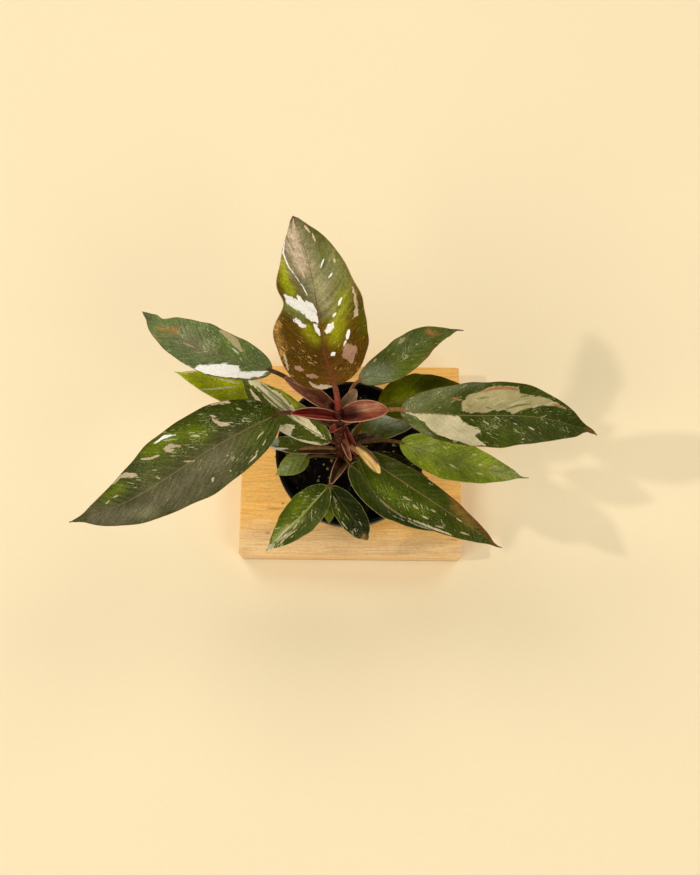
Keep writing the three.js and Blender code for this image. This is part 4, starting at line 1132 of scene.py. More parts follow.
# patches: colour, half width in mm (0 for an outline), and the lines or outlines
PATCHES = {
    "leaf_back_centre": (
        ("white", 0, (60, -89, 58, -70, 54, -49, 58, -57, 57, -46, 54, -36, 52, -12, 48, -2, 39, -1, 43, -19,
         49, -45, 53, -78, 56, -91), (46, -60, 45, -45, 40, -27, 40, -40, 43, -50), (35, 10, 39, 19, 40, 31,
         37, 30, 34, 20, 33, 12)), ("white", 1.3, (40, -11, 33, -2), (20, 15, 21, 24)),
        ("white", 1.2, (34, 60, 29, 54)),
        ("white", 0.7, (28, 51, 25, 45), (43, 31, 45, 39), (49, 46, 53, 56)),
        ("blush", 0, (60, 90, 54, 89, 43, 86, 41, 74, 48, 81, 55, 84)),
        ("white", 0.45, (89, -100, 83, -94, 75, -69, 68, -44)), ("white", 0.32, (68, -44, 62, -30, 57, -25)),
        ("white", 0.5, (74, 48, 70, 30), (64, 40, 66, 55)),
        ("blush", 0.7, (93, 68, 89, 60), (99, -21, 92, -34, 85, -29)),
        ("blush", 0.6, (88, 66, 84, 53), (73, 78, 71, 73), (87, -70, 80, -47), (88, -81, 83, -57, 79, -44)),
        ("pink", 0, (26, 48, 25, 59, 23, 76, 18, 76, 12, 68, 18, 39)), ("pink", 1.5, (21, -78, 18, -65)),
        ("pink", 1.3, (14, -65, 10, -41)), ("cream", 0.7, (30, -89, 25, -91, 21, -96)),
        ("tan", 0.8, (97, -41, 93, -44, 87, -27, 81, -17, 74, -11)),
        ("blush", 0.5, (76, -35, 70, -25, 66, -20)), ("tan", 0.5, (93, -100, 89, -70)),
        ("rust", 0.9, (0, 0, 10, 0, 22, 0)),
        ("tan", 0, (10, -72, 7, -70, 5, -61, 3, -41, 0, -95, 1, -100, 3, -90, 7, -84)),
    ),
    "leaf_back_left": (
        ("white", 0, (44, -99, 42, -76, 34, -46, 27, -27, 21, -26, 19, -21, 18, -55, 12, -46, 1, -25, 4, -78,
         14, -93, 22, -96, 39, -100, 48, -100)),
        ("khaki", 0, (43, 91, 40, 100, 31, 100, 25, 83, 20, 51, 22, 43, 29, 64, 35, 74)),
        ("golden", 0.7, (84, -40, 77, -22)), ("orange", 0.9, (74, 30, 70, 22)),
        ("silver", 0.6, (28, 46, 23, 35)), ("khaki", 0.6, (60, -17, 51, -11)),
    ),
    "leaf_lime_left": (
        ("cream", 0.7, (68, -100, 55, -35, 32, 40)), ("cream", 0.6, (55, 44, 31, 58)),
        ("cream", 1, (93, 100, 79, 95)),
    ),
    "leaf_large_left": (
        ("tan", 1.3, (21, 100, 18, 100, 14, 95), (45, 64, 42, 61, 39, 46)),
        ("tan", 0.6, (23, 74, 21, 64), (27, -78, 26, -76)), ("tan", 1.2, (23, 64, 21, 44, 18, 33)),
        ("tan", 0.9, (20, 53, 21, 34), (74, 100, 69, 93), (34, -64, 35, -71)),
        ("tan", 1.1, (45, 58, 42, 49)), ("tan", 0.7, (56, 85, 52, 66, 48, 58)),
        ("tan", 1.6, (69, 98, 65, 81, 61, 59)), ("white", 0.8, (47, 89, 42, 88, 38, 75)),
        ("cream", 0.6, (33, 53, 30, 40), (28, 38, 27, 33), (80, 38, 78, 44)),
        ("khaki", 0.6, (41, 11, 37, -4), (54, 18, 53, 7), (24, -34, 25, -42), (13, 34, 12, 19)),
        ("cream", 0.32, (7.5, -36, 10, -44, 12, -52)), ("cream", 0.3, (8, -70, 11, -80)),
        ("blush", 0.6, (19, -90, 15, -88, 13, -80)), ("cream", 0.5, (76, 46, 73, 40)),
        ("khaki", 0.5, (13, 73, 11, 62)),
    ),
    "leaf_cream_striped": (
        ("pale_cream", 0, (94, 100, 83, 100, 61, 80, 39, 58, 21, 49, 2, -19, 11, -16, 30, -2, 45, 2, 62, 0,
         79, 20, 91, 30), (49, -89, 33, -16, 32, -97, 36, -100, 44, -100)),
        ("pale_cream", 1.3, (84, -30, 70, -45, 56, -55), (24, -100, 16, -100, 5, -97)),
        ("white", 0.7, (42, -100, 34, -100, 24, -100)), ("mid_green", 0.45, (80, 78, 60, 55, 42, 40)),
        ("light_green", 0.5, (70, 50, 50, 35, 30, 20)), ("light_green", 0.4, (45, -75, 37, -50)),
        ("mid_green", 0.5, (82, 35, 62, 15, 40, 10)),
    ),
    "leaf_cream_edged": (
        ("silver", 0, (91, 100, 66, 100, 65, -31, 93, -100)), ("cream", 0.8, (91, -100, 72, -64)),
        ("white", 0.9, (88, -100, 70, -100, 50, -52)),
    ),
    "leaf_front_left_small": (
        ("light_green", 0.7, (3, 0, 25, 2, 50, -4)), ("khaki", 0.6, (40, 0, 60, 10, 75, 20, 88, 30)),
        ("light_green", 1.3, (55, 8, 72, 30, 84, 50)), ("cream", 0.45, (52, -42, 66, -36, 75, -42)),
        ("khaki", 0.6, (60, -28, 70, -20, 82, -20)), ("silver", 1.6, (97, 0, 87, -10)),
        ("cream", 0.35, (53, 4, 61, -2), (47, -9, 58, -25)), ("white", 0.3, (66, -9, 73, -25)),
        ("khaki", 0.35, (35, 11, 42, 3)), ("cream", 0.35, (75, -5, 83, -31)),
        ("khaki", 0.35, (42, -49, 49, -56), (55, 29, 62, 31)), ("cream", 0.3, (58, -54, 68, -65)),
        ("khaki", 0.3, (30, -24, 38, -34), (20, -29, 27, -34)), ("cream", 0.3, (76, -75, 84, -97)),
        ("cream", 0.7, (83, 6, 70, 11, 59, 9)), ("cream", 0.5, (83, -68, 71, -39)),
        ("khaki", 0.5, (94, -100, 85, -6)),
    ),
    "leaf_front_right_small": (
        ("khaki", 0.2, (10, 40, 27, 54, 35, 59)),
        ("cream", 0.35, (48, 84, 59, 86), (50, 83, 64, 85), (65, 80, 76, 78)),
        ("cream", 0.28, (71, 46, 78, 50)), ("golden", 0.8, (88, -22, 93, 100)),
        ("khaki", 0.5, (74, 100, 80, 100)), ("cream", 0.25, (11, 29, 22, 38)),
        ("khaki", 0.35, (66, -27, 76, -27)), ("light_green", 0.25, (41, 33, 55, 31)),
        ("light_green", 0.35, (29, 50, 40, 55)),
    ),
    "leaf_front_right_large": (
        ("cream", 0.7, (42, 95, 55, 93, 70, 92)), ("khaki", 0.7, (33, 43, 38, 40)),
        ("khaki", 0.8, (40, 49, 44, 50)), ("cream", 0.5, (47, 66, 52, 66)),
        ("khaki", 0.5, (57, 78, 63, 72), (25, 81, 28, 79), (72, 60, 78, 55), (50, 30, 54, 28)),
        ("cream", 0.4, (66, 4, 70, 3), (40, -80, 43, -91)),
    ),
    "leaf_silver_edged": (
        ("khaki", 0, (29, 33, 35, 25, 43, 30, 51, 36, 56, 56, 50, 60, 40, 53)), ("cream", 0.4, (52, 46, 59,
         46, 68, 50), (71, 73, 79, 80, 90, 88), (43, 68, 52, 78, 59, 76), (29, 29, 38, 30)),
        ("khaki", 0.6, (4, -85, 12, -17, 20, 9)), ("silver", 0.7, (60, 68, 67, 68)),
        ("silver", 0.5, (49, 62, 58, 61), (67, 76, 79, 80)),
    ),
    "leaf_lime_right": (
        ("cream", 0.45, (37, 23, 43, 33), (58, -17, 63, -24), (52, -57, 57, -68)),
        ("cream", 0.5, (57, 38, 64, 41), (28, -50, 32, -46)), ("cream", 0.4, (70, -36, 75, -38)),
    ),
    "leaf_large_right": (
        ("khaki", 0, (29, -46, 33, -62, 39, -74, 44, -88, 51, -88, 57, -85, 58, -69, 64, -70, 70, -79, 75,
         -84, 81, -79, 75, -65, 69, -46, 64, -29, 58, -16, 54, -5, 51, -16, 44, -17, 41, -9, 34, -9, 29,
         -15)), ("cream", 0, (1, 31, 6, 16, 18, -1, 27, 1, 30, 25, 35, 40, 38, 50, 35, 66, 37, 83, 41, 96,
         33, 100, 26, 88, 20, 84, 15, 71, 11, 46, 7, 35)),
        ("orange", 0.9, (39, -71, 46, -81, 52, -82, 57, -79), (24, -57, 28, -50)),
        ("orange", 0.7, (74, -69, 79, -76)),
        ("cream", 0.5, (54, 25, 56, 31), (62, 39, 65, 50), (41, 24, 42, 29), (70, -51, 75, -81)), ("cream",
         0.4, (57, 85, 59, 81), (45, -31, 48, -40, 52, -47), (46, -14, 51, -21), (64, -29, 67, -45)),
        ("cream", 0.3, (42, -45, 46, -54)), ("cream", 0.45, (53, -30, 57, -41, 61, -49)),
        ("mid_green", 0.45, (51, -20, 57, -32, 63, -41)), ("mid_green", 0.4, (37, -50, 42, -56)),
        ("mid_green", 0.35, (58, -59, 62, -68)), ("golden", 0.5, (31, -35, 34, -26)),
        ("olive", 0.35, (41, -26, 44, -20)),
    ),
    "leaf_back_right": (
        ("khaki", 1.2, (45, -71, 51, -79)), ("cream", 0.6, (16, -75, 20, -84)),
        ("khaki", 0.6, (33, -45, 36, -42)), ("orange", 1, (71, -76, 71, -27)),
        ("khaki", 0.5, (38, 15, 43, 20)), ("cream", 0.5, (55, -11, 57, -5)),
    ),
    "leaf_under_right": (
        ("cream", 0.9, (38, -95, 61, -75)), ("silver", 1.3, (35, -70, 59, -14)),
    ),
}

# where the flecks lie denser: how much denser, reach in mm, and the lines
FLECKED = {
    "leaf_back_centre": (
        (1.6, 5, (42, -85, 26, -91)), (0.8, 9, (29, -52, 16, -49)), (0.6, 8, (35, 31, 8, 66)),
        (1.2, 3.5, (44, -97, 30, -97, 20, -90)),
    ),
    "leaf_back_left": (
        (0.8, 8, (43, 25, 18, 39)),
    ),
    "leaf_large_left": (
        (0.9, 10, (41, 74, 17, 44, 7, 55)), (0.5, 10, (53, 64, 36, 25)), (0.6, 7, (78, 44, 55, 44)),
        (0.5, 7, (12, -45, 27, -74)),
    ),
    "leaf_front_left_small": (
        (0.8, 6, (62, -10, 83, 25)),
    ),
    "leaf_front_right_small": (
        (0.9, 6, (68, 76, 88, 26)),
    ),
    "leaf_front_right_large": (
        (1, 6, (22, 64, 39, 55, 59, 56)),
    ),
    "leaf_lime_right": (
        (0.5, 6, (46, -65, 69, -1)),
    ),
    "leaf_large_right": (
        (0.9, 8, (3, -84, 20, -70)), (0.6, 8, (42, 29, 57, 50)), (0.5, 9, (69, 30, 83, -60)),
    ),
    "leaf_back_right": (
        (0.6, 6, (26, -45, 42, -1)),
    ),
}

HOOKED_FROM = 0.86
DRAWN_OUT_AT = 0.945
DRAWN_OUT_REACH = 0.045
LEAST_HALF_WIDTH = 0.3


def unit(vectors):
    return vectors / np.maximum(np.linalg.norm(vectors, axis=-1, keepdims=True), 1e-12)


class Blade:
    """The surface of one leaf or sheath, in millimetres: t runs from base to tip, v across."""

    def __init__(self, form):
        self.form = form
        self.base = np.array(form["base"], float)
        reach = np.array(form["tip"], float) - self.base
        self.length = float(np.linalg.norm(reach))
        self.along = reach / self.length
        self.right = unit(np.cross(self.along, (0, 0, 1)))
        self.lift = np.cross(self.right, self.along)

    def midrib(self, t):
        t = np.asarray(t, float)[..., None]
        form = self.form
        hooked = np.clip((t - HOOKED_FROM) / (1 - HOOKED_FROM), 0, 1)
        aside = form["sway"] * np.sin(np.pi * t) + form["swerve"] * np.sin(2 * np.pi * t)
        aside = aside + form["hook"] * hooked * np.sin(np.pi * hooked)
        return (self.base + self.along * self.length * t
                + self.lift * form["arch"] * np.sin(np.pi * t) + self.right * aside)

    def directions(self, t):
        t = np.asarray(t, float)
        tangent = unit(self.midrib(t + 0.01) - self.midrib(t - 0.01))
        roll = math.radians(self.form["roll"])
        side = self.right * math.cos(roll) + self.lift * math.sin(roll)
        side = unit(side - tangent * (side * tangent).sum(-1, keepdims=True))
        return tangent, side, np.cross(side, tangent)

    def half_width(self, t, v):
        form = self.form
        widest = form["widest"]
        t = np.asarray(t, float)
        hand = np.where(np.asarray(v) < 0, -1, 1)
        near = 1 - t / widest
        far = np.clip((t - widest) / (1 - widest), 0, 1)
        share = np.where(t < widest, np.sqrt(np.clip(1 - near * near, 0, 1)),
                         np.clip(1 - far ** 1.75, 0, 1) ** form["tip_power"])
        half = 0.5 * form["width"] * share * (1 + hand * form["lean"])
        for notch_hand, at, depth, spread in form["notches"]:
            notch = depth * np.exp(-((t - at) / spread) ** 2)
            half = half * np.where(hand == notch_hand, 1 - notch, 1)
        drawn_out = np.exp(-((t - DRAWN_OUT_AT) / DRAWN_OUT_REACH) ** 2)
        half = half * (1 - form["draw_out"] * drawn_out)
        beat = self.length * 0.37 + hand * 1.7
        uneven = np.sin(t * 23 + beat) + 0.6 * np.sin(t * 41 + beat * 2)
        half = half * (1 + form["uneven"] * uneven * np.sin(np.pi * t))
        return np.maximum(half, LEAST_HALF_WIDTH)

    def surface(self, t, v):
        form = self.form
        t, v = np.asarray(t, float), np.asarray(v, float)
        tangent, side, up = self.directions(t)
        reach, hand = np.abs(v), np.where(v < 0, -1, 1)
        half = self.half_width(t, v)
        turn = 2 * np.pi * form["waves"] * t + np.where(hand > 0, 0.9, 0)
        ripple = form["wave"] * reach ** 2 * np.sin(turn) * np.sin(np.pi * t)
        fold = math.radians(form["fold"]) * np.minimum(1, half / 3)
        rise = reach * half * np.sin(fold) + ripple
        back = -form["lobe"] * reach ** 2 * (1 - t) ** 6
        return (self.midrib(t) + side * (hand * reach * half * np.cos(fold))[..., None]
                + up * rise[..., None] + tangent * back[..., None])

    def flat(self, t, v):
        """Millimetres along the midrib and out from it."""
        t, v = np.asarray(t, float), np.asarray(v, float)
        return np.stack([t * self.length, v * self.half_width(t, v)], axis=-1)

    def drawn(self, line):
        """The points of a line in hundredths, as millimetres on the flat blade."""
        return self.flat(*np.array(line).reshape(-1, 2).T / 100)


def side_vein_place(flat, slant):
    """Where on the midrib the side vein through each place starts, in millimetres."""
    aside = np.abs(flat[:, 1])
    return flat[:, 0] - slant * aside - 0.012 * aside ** 2


def distance_to_path(places, path):
    """How far each place is from the path, and how far along the path, from 0 to 1, it lies."""
    best = np.full(len(places), 1e9)
    along = np.zeros(len(places))
    for index, (start, end) in enumerate(zip(path, path[1:])):
        step = end - start
        share = np.clip((places - start) @ step / max(step @ step, 1e-9), 0, 1)
        away = np.linalg.norm(places - start - share[:, None] * step, axis=1)
        along = np.where(away < best, (index + share) / (len(path) - 1), along)
        best = np.minimum(best, away)
    return best, along


def inside_outline(places, path):
    inside = np.zeros(len(places), bool)
    for (x0, y0), (x1, y1) in zip(path, np.roll(path, -1, axis=0)):
        crosses = (y0 > places[:, 1]) != (y1 > places[:, 1])
        rise = y1 - y0 if y1 != y0 else 1e-9
        inside ^= crosses & (places[:, 0] < (x1 - x0) * (places[:, 1] - y0) / rise + x0)
    return inside


ROUND_BASE_ROWS = 0.32
QUILT_SPACING = 6.5
RIB_HEIGHT = 0.3
# how far apart two leaves, or two sheaths, read the patterns of their finish
LEAF_SHIFT = 53.0
SHEATH_SHIFT = 71.0


def row_places(count, widest):
    """Row by row from base to tip, close together at the round base."""
    turn = ROUND_BASE_ROWS
    steps = np.linspace(0, 1, count)
    base = widest * (1 - np.cos(np.pi / 2 * np.minimum(steps / turn, 1)))
    rest = widest + (1 - widest) * (steps - turn) / (1 - turn)
    return np.where(steps < turn, base, rest)


def blade_mesh(blade, thickness, quilting, rib_height):
    """A grid laid onto the blade's surface and given its thickness. Returns it with its t and v."""
    form = blade.form
    start_clean()
    bpy.ops.mesh.primitive_grid_add(x_subdivisions=form["columns"], y_subdivisions=form["rows"],
                                    size=2)
    leaf = bpy.context.object
    leaf.data.uv_layers[0].name = "vein"
    grid = points_of(leaf.data)
    order = np.round((grid[:, 1] + 1) / 2 * form["rows"]).astype(int)
    t = row_places(form["rows"] + 1, form["widest"])[order]
    # the columns lie closest together at the midrib
    v = grid[:, 0] * (0.68 + 0.32 * np.abs(grid[:, 0]))
    near = np.clip(t, 0.02, 0.98)
    forward = blade.surface(near + 0.01, v * 0.999) - blade.surface(near - 0.01, v * 0.999)
    outward = (blade.surface(near, np.minimum(v + 0.05, 1))
               - blade.surface(near, np.maximum(v - 0.05, -1)))
    normal = unit(np.cross(outward, forward))
    flat = blade.flat(t, v)
    wave = side_vein_place(flat, form["slant"])
    fade = np.clip(np.abs(flat[:, 1]) / 3, 0, 1) * np.clip((1 - np.abs(v)) * 5, 0, 1)
    swell = np.sin(wave * 2 * np.pi / QUILT_SPACING + 0.6 * np.sin(wave * 0.31))
    swell = quilting / MM * swell * fade
    ridge = rib_height * np.exp(-(flat[:, 1] / 0.9) ** 2) * np.clip(1.15 - t, 0, 1)
    top = blade.surface(t, v) + normal * (thickness / MM / 2 + swell + ridge - 0.02)[:, None]
    move_points(leaf.data, top * MM)
    count = len(leaf.data.vertices)
    apply_modifier(leaf, "SOLIDIFY", thickness=thickness, offset=-1, use_rim=True,
                   use_even_offset=False)
    if len(leaf.data.vertices) != 2 * count:
        raise RuntimeError("the blade did not get one underside point for each upper one")
    smooth_by_angle(leaf, 55)
    return leaf, np.concatenate([t, t]), np.concatenate([v, v])


def colour_of(settings, name):
    return np.array(getattr(settings, name))


def blend(first, second, share):
    return first * (1 - share[:, None]) + second * share[:, None]


COARSEST_TEAR = 1.1
FINEST_TEAR = 0.3
SOFT_EDGE = 0.7
FAR_FROM_PATCH = 9
FAR_FROM_LINE = 5
FLECK_STEP = 0.35


def painted_patches(blade, flat, rows, settings):
    """The colour of the patch at each place, and how far inside its edge the place lies, in tears."""
    edge = np.full(len(flat), -float(FAR_FROM_PATCH))
    colour = np.tile(colour_of(settings, blade.form["colour"]), (len(flat), 1))
    for name, radius, *lines in rows:
        # a thin patch has a finer tear along its edge than a wide one
        tear = np.clip(0.5 * radius, FINEST_TEAR, COARSEST_TEAR) if radius else COARSEST_TEAR
        for line in map(blade.drawn, lines):
            if radius:
                # a stroke is widest halfway along and narrows to its ends
                away, along = distance_to_path(flat, line)
                near = radius * (1.15 - 0.6 * (2 * along - 1) ** 2) - away
            else:
                away, _ = distance_to_path(flat, np.vstack([line, line[:1]]))
                near = np.where(inside_outline(flat, line), away, -away)
            share = np.where(near / tear > edge, 1, np.clip(near / SOFT_EDGE + 0.5, 0, 1))
            colour = blend(colour, colour_of(settings, name), share)
            edge = np.maximum(edge, near / tear)
    return colour, np.clip(edge, -FAR_FROM_PATCH, FAR_FROM_PATCH)


def paint_blade(leaf, node, blade, t, v, settings, shift):
    """Stores the soft colours, the patches with their edges, the midrib and the margin."""
    form = blade.form
    flat = blade.flat(t, v)
    tint = np.tile(colour_of(settings, form["colour"]), (len(t), 1))
    for name, strength, radius, *lines in WASHES.get(node, ()):
        for line in map(blade.drawn, lines):
            away, _ = distance_to_path(flat, line)
            weight = strength * np.exp(-(away / radius) ** 2)
            tint = blend(tint, colour_of(settings, name), weight)
    patch, edge = painted_patches(blade, flat, PATCHES.get(node, ()), settings)
    margin = form["margin_width"] - blade.half_width(t, v) * (1 - np.abs(v))
    rib = form["rib"] * (1 - 0.75 * t) - np.abs(flat[:, 1])
    line = np.where((rib > margin)[:, None], colour_of(settings, form["rib_colour"]),
                    colour_of(settings, form["margin"]))
    flecks = np.full(len(t), float(form["flecks"]))
    for amount, radius, *lines in FLECKED.get(node, ()):
        for path in map(blade.drawn, lines):
            away, _ = distance_to_path(flat, path)
            flecks += FLECK_STEP * amount * np.exp(-(away / radius) ** 2)
    line_edge = np.clip(np.maximum(rib, margin), -FAR_FROM_LINE, FAR_FROM_LINE)
    store(leaf.data, tint=tint, patch=patch, patch_edge=edge, line=line, line_edge=line_edge,
          flecks=flecks, under=(np.arange(len(t)) >= len(t) // 2).astype(float))
    store_flat(leaf.data, side_vein_place(flat, form["slant"]) + shift,
               flat[:, 1] + shift * 0.37)


def stem_point(line, height):
    for (low, _), (high, _) in zip(line, line[1:]):
        if height <= high[2]:
            share = np.clip((height - low[2]) / (high[2] - low[2]), 0, 1)
            return np.array(low) + (np.array(high) - np.array(low)) * share
    return np.array(line[-1][0], float)


STALK_STEPS = 26
RIB_STEPS = 41


def stalk_and_rib(name, blade, stems, shift):
    """The petiole out of the stem and the rib that it runs on as, under the blade."""
    form = blade.form
    petiole = form["petiole"]
    root = stem_point(SHOOT_LINE if form["shoot"] else STEM_LINE, form["root"])
    base = blade.base
    reach = np.linalg.norm(base - root)
    out = unit((base - root) * (1, 1, 0))
    climb = math.radians(form["climb"])
    t = np.linspace(0, 1, RIB_STEPS)
    tangent, _, up = blade.directions(t)
    first = root + reach * 0.35 * (out * math.cos(climb) + np.array([0, 0, math.sin(climb)]))
    second = base - tangent[0] * reach * 0.3
    u = np.linspace(0, 1, STALK_STEPS)[:, None]
    stalk = ((1 - u) ** 3 * root + 3 * (1 - u) ** 2 * u * first + 3 * (1 - u) * u * u * second
             + u ** 3 * base)
    t = t[1:-1]
    rib_radius = petiole * 0.85 + (0.45 - petiole * 0.85) * t ** 0.7
    under = blade.midrib(t) - up[1:-1] * (rib_radius * 0.75)[:, None]
    places = np.vstack([stalk, under])
    radii = np.concatenate([petiole * (1.35 - 0.35 * u[:, 0]), rib_radius])
    made = bar(name, places * MM, radii * MM, 16)
    spots = points_of(made.data) / MM
    nearest = nearest_of(spots, places)
    share = np.clip(nearest / STALK_STEPS, 0, 1) ** 0.6
    tint = blend(colour_of(stems, form["stalk_root"]), colour_of(stems, form["stalk"]), share)
    zero = np.zeros(len(spots))
    store(made.data, tint=tint, patch=tint, patch_edge=zero - FAR_FROM_PATCH, line=tint,
          line_edge=zero - FAR_FROM_LINE, flecks=zero, under=zero)
    around = spots - places[nearest]
    store_flat(made.data, along_line(places)[nearest] * 0.2 + shift,
               around[:, 2] * 2 + around[:, 0])
    return made


def build_leaves(settings, stems):
    finishes = {
        "bronze": leaf_finish("bronze leaf", linear(206, 158, 84), linear(110, 60, 50)),
        "dark_green": leaf_finish("dark green leaf", linear(192, 192, 136), linear(104, 116, 70)),
        "blue_green": leaf_finish("blue green leaf", linear(176, 184, 134), linear(100, 116, 80)),
        "lime": leaf_finish("lime leaf", linear(196, 204, 120), linear(140, 152, 84)),
        "olive": leaf_finish("olive leaf", linear(140, 138, 70), linear(104, 84, 50)),
        "cream": leaf_finish("cream striped leaf", linear(176, 186, 130), linear(140, 146, 96)),
    }
    for index, (node, form) in enumerate(LEAVES.items()):
        blade = Blade(form)
        shift = LEAF_SHIFT * (index + 1)
        leaf, t, v = blade_mesh(blade, settings.thickness, settings.quilting * form["quilt"],
                                RIB_HEIGHT)
        paint_blade(leaf, node, blade, t, v, settings, shift)
        join(leaf, stalk_and_rib(node + "_stalk", blade, stems, shift))
        finished(leaf, node.replace("leaf_", "leaf_skin_"), finishes[form["finish"]], [node])


def build_sheaths(settings):
    finishes = {
        "pink": sheath_finish("pink sheath", settings.edge, 0.15),
        "maroon": sheath_finish("maroon sheath", settings.pink, 0.15),
        "brown": sheath_finish("brown sheath", settings.edge, 0.12),
        "tan": sheath_finish("tan sheath", linear(232, 206, 150), 0.4),
    }
    for index, (node, form) in enumerate(SHEATHS.items()):
        blade = Blade(form)
        sheath, t, v = blade_mesh(blade, settings.thickness, 0, 0.0)
        paint_blade(sheath, node, blade, t, v, settings, SHEATH_SHIFT * (index + 1))
        finished(sheath, node.replace("sheath_", "sheath_skin_"), finishes[form["finish"]],
                 [node])


# Stage

CAMERA_PLACE = Vector((1.0, -190.0, 869.0)) * MM
CAMERA_ELEVATION = math.radians(76)
CAMERA_YAW = math.radians(0.62)
CAMERA_LENS = 40.65
FLOOR_SIZE = 40
FLOOR_DROP = 0.4 * MM
BOX_REACH = 1.5
BOX_HEIGHT = 1.7
BOX_SIZE = 1.1
# soft boxes all round, part of the way up, so that the leaves keep their depth seen from above:
# where each stands, in degrees, and its watts
SOFT_BOXES = ((45, 9.8), (135, 13.5), (225, 12.4), (315, 9.3))


def add_light(kind, name, place, target, energy, colour):
    """Adds a light that shines from its place at the target."""
    start_clean()
    bpy.ops.object.light_add(type=kind, location=place)
    light = bpy.context.object
    light.name = name
    light.data.energy = energy
    light.data.color = colour
    light.rotation_euler = (Vector(target) - light.location).to_track_quat("-Z", "Y").to_euler()
    return light.data


def light_world():
    """A warm dim light from all round, brighter from low down than from above."""
    world = bpy.data.worlds.new("soft studio light")
    bpy.context.scene.world = world
    world.use_nodes = True
    nodes, links = world.node_tree.nodes, world.node_tree.links
    nodes.clear()
    sky, split, ramp, background, output = (nodes.new("ShaderNode" + kind) for kind in (
        "TexCoord", "SeparateXYZ", "MapRange", "Background", "OutputWorld"))
    links.new(sky.outputs["Generated"], split.inputs[0])
    links.new(split.outputs["Z"], ramp.inputs[0])
    for place, value in enumerate((0.0, 0.8, 0.95, 0.03), 1):
        ramp.inputs[place].default_value = value
    links.new(ramp.outputs[0], background.inputs["Strength"])
    background.inputs["Color"].default_value = (1.0, 0.965, 0.90, 1)
    links.new(background.outputs[0], output.inputs[0])


def place_camera():
    data = bpy.data.cameras.new("photo_camera")
    camera = bpy.data.objects.new("photo_camera", data)
    bpy.context.collection.objects.link(camera)
    ahead = Vector((-math.sin(CAMERA_YAW) * math.cos(CAMERA_ELEVATION),
                    math.cos(CAMERA_YAW) * math.cos(CAMERA_ELEVATION),
                    -math.sin(CAMERA_ELEVATION)))
    across = Vector((math.cos(CAMERA_YAW), math.sin(CAMERA_YAW), 0))
    turn = Matrix((across, across.cross(ahead), -ahead)).transposed().to_4x4()
    camera.matrix_world = Matrix.Translation(CAMERA_PLACE) @ turn
    data.lens = CAMERA_LENS
    data.sensor_width = 36
    data.clip_start = 0.01
    data.dof.use_dof = False
    bpy.context.scene.camera = camera


def build_stage(settings):
    start_clean()
    bpy.ops.mesh.primitive_plane_add(size=FLOOR_SIZE, location=(0, 0, -FLOOR_DROP))
    floor = bpy.context.object
    settle(floor)
    floor.name = "studio_floor"
    floor.data.materials.append(floor_finish(settings))
    light_world()
    for azimuth, watts in SOFT_BOXES:
        turn = math.radians(azimuth)
        place = (BOX_REACH * math.cos(turn), BOX_REACH * math.sin(turn), BOX_HEIGHT)
        box = add_light("AREA", f"soft_box_{azimuth}", place, (0, 0, 0.1), watts * settings.fill,
                        (1.0, 0.97, 0.91))
        box.shape = "DISK"
        box.size = BOX_SIZE
    key = add_light("SUN", "key_light", (-0.95, -0.08, 1.0), (0, 0, 0), settings.key,
                    (1.0, 0.96, 0.9))
    key.angle = math.radians(2.2)
    place_camera()
    bpy.context.scene.view_settings.view_transform = "Standard"
    bpy.context.scene.view_settings.look = "None"


# Operators


class PLANT_OT_board(bpy.types.Operator):
    """Builds the wooden board that the pot stands on"""
    bl_idname = "plant.board"
    bl_label = "Wooden Board"

    def execute(self, context):
        build_board(context.scene.plant_board)
        return {"FINISHED"}


class PLANT_OT_pot(bpy.types.Operator):
    """Builds the nursery pot"""
    bl_idname = "plant.pot"
    bl_label = "Nursery Pot"

    def execute(self, context):
        build_pot(context.scene.plant_pot)
        return {"FINISHED"}


class PLANT_OT_soil(bpy.types.Operator):
    """Builds the potting mix with its loose bark and grit"""
    bl_idname = "plant.soil"
    bl_label = "Potting Mix"

    def execute(self, context):
        build_soil(context.scene.plant_soil)
        build_soil_bits(context.scene.plant_soil)
        return {"FINISHED"}


class PLANT_OT_stems(bpy.types.Operator):
    """Builds the main stem and the front shoot"""
    bl_idname = "plant.stems"
    bl_label = "Stems"

    def execute(self, context):
        build_stems(context.scene.plant_stems)
        return {"FINISHED"}


class PLANT_OT_leaves(bpy.types.Operator):
    """Builds all leaves, each with its stalk and midrib"""
    bl_idname = "plant.leaves"
    bl_label = "Leaves"

    def execute(self, context):
        build_leaves(context.scene.plant_leaves, context.scene.plant_stems)
        return {"FINISHED"}


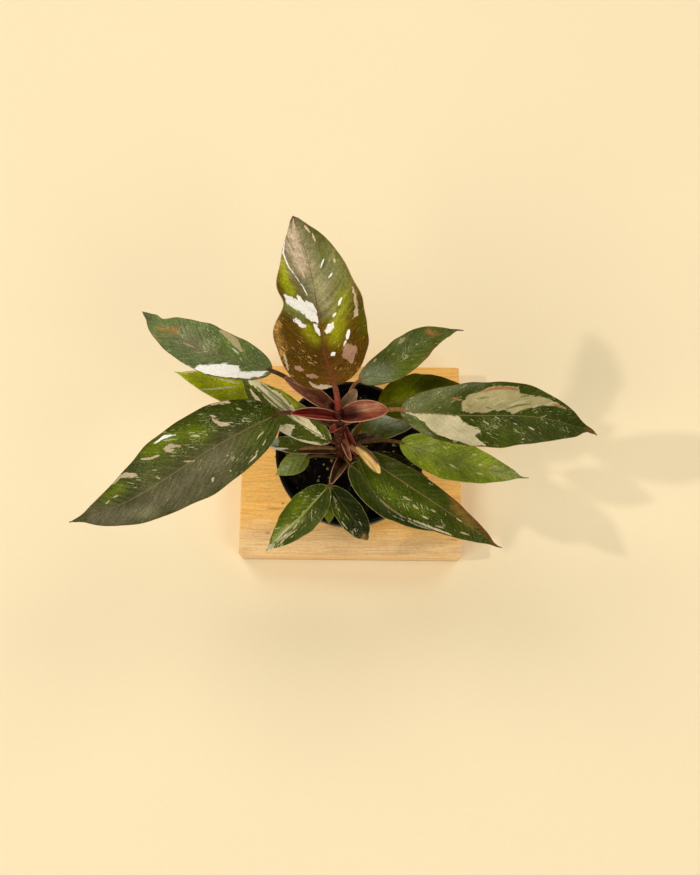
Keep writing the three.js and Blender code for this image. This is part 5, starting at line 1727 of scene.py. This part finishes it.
class PLANT_OT_sheaths(bpy.types.Operator):
    """Builds the sheaths in the crown"""
    bl_idname = "plant.sheaths"
    bl_label = "Sheaths"

    def execute(self, context):
        build_sheaths(context.scene.plant_sheaths)
        return {"FINISHED"}


class PLANT_OT_stage(bpy.types.Operator):
    """Lays the floor and sets the lights and the camera"""
    bl_idname = "plant.stage"
    bl_label = "Stage"

    def execute(self, context):
        build_stage(context.scene.plant_stage)
        return {"FINISHED"}


SETTINGS = {
    "plant_board": BoardSettings, "plant_pot": PotSettings, "plant_soil": SoilSettings,
    "plant_stems": StemSettings, "plant_leaves": LeafSettings, "plant_sheaths": SheathSettings,
    "plant_stage": StageSettings,
}
OPERATORS = (PLANT_OT_board, PLANT_OT_pot, PLANT_OT_soil, PLANT_OT_stems, PLANT_OT_leaves,
             PLANT_OT_sheaths, PLANT_OT_stage)


class PLANT_PT_panel(bpy.types.Panel):
    """Lists the pieces of the plant with their settings"""
    bl_idname = "PLANT_PT_panel"
    bl_label = "Potted Philodendron"
    bl_space_type = "VIEW_3D"
    bl_region_type = "UI"
    bl_category = "Philodendron"

    def draw(self, context):
        for operator, (name, group) in zip(OPERATORS, SETTINGS.items()):
            box = self.layout.box()
            box.operator(operator.bl_idname)
            for setting in group.__annotations__:
                box.prop(getattr(context.scene, name), setting)


def register():
    for group in SETTINGS.values():
        bpy.utils.register_class(group)
    for kind in (*OPERATORS, PLANT_PT_panel):
        bpy.utils.register_class(kind)
    for name, group in SETTINGS.items():
        setattr(bpy.types.Scene, name, PointerProperty(type=group))


def unregister():
    for name in SETTINGS:
        delattr(bpy.types.Scene, name)
    for kind in (PLANT_PT_panel, *reversed(OPERATORS)):
        bpy.utils.unregister_class(kind)
    for group in SETTINGS.values():
        bpy.utils.unregister_class(group)


def main():
    register()
    bpy.ops.plant.board()
    bpy.ops.plant.pot()
    bpy.ops.plant.soil()
    bpy.ops.plant.stems()
    bpy.ops.plant.leaves()
    bpy.ops.plant.sheaths()
    bpy.ops.plant.stage()
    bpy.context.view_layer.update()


if __name__ == "__main__":
    main()
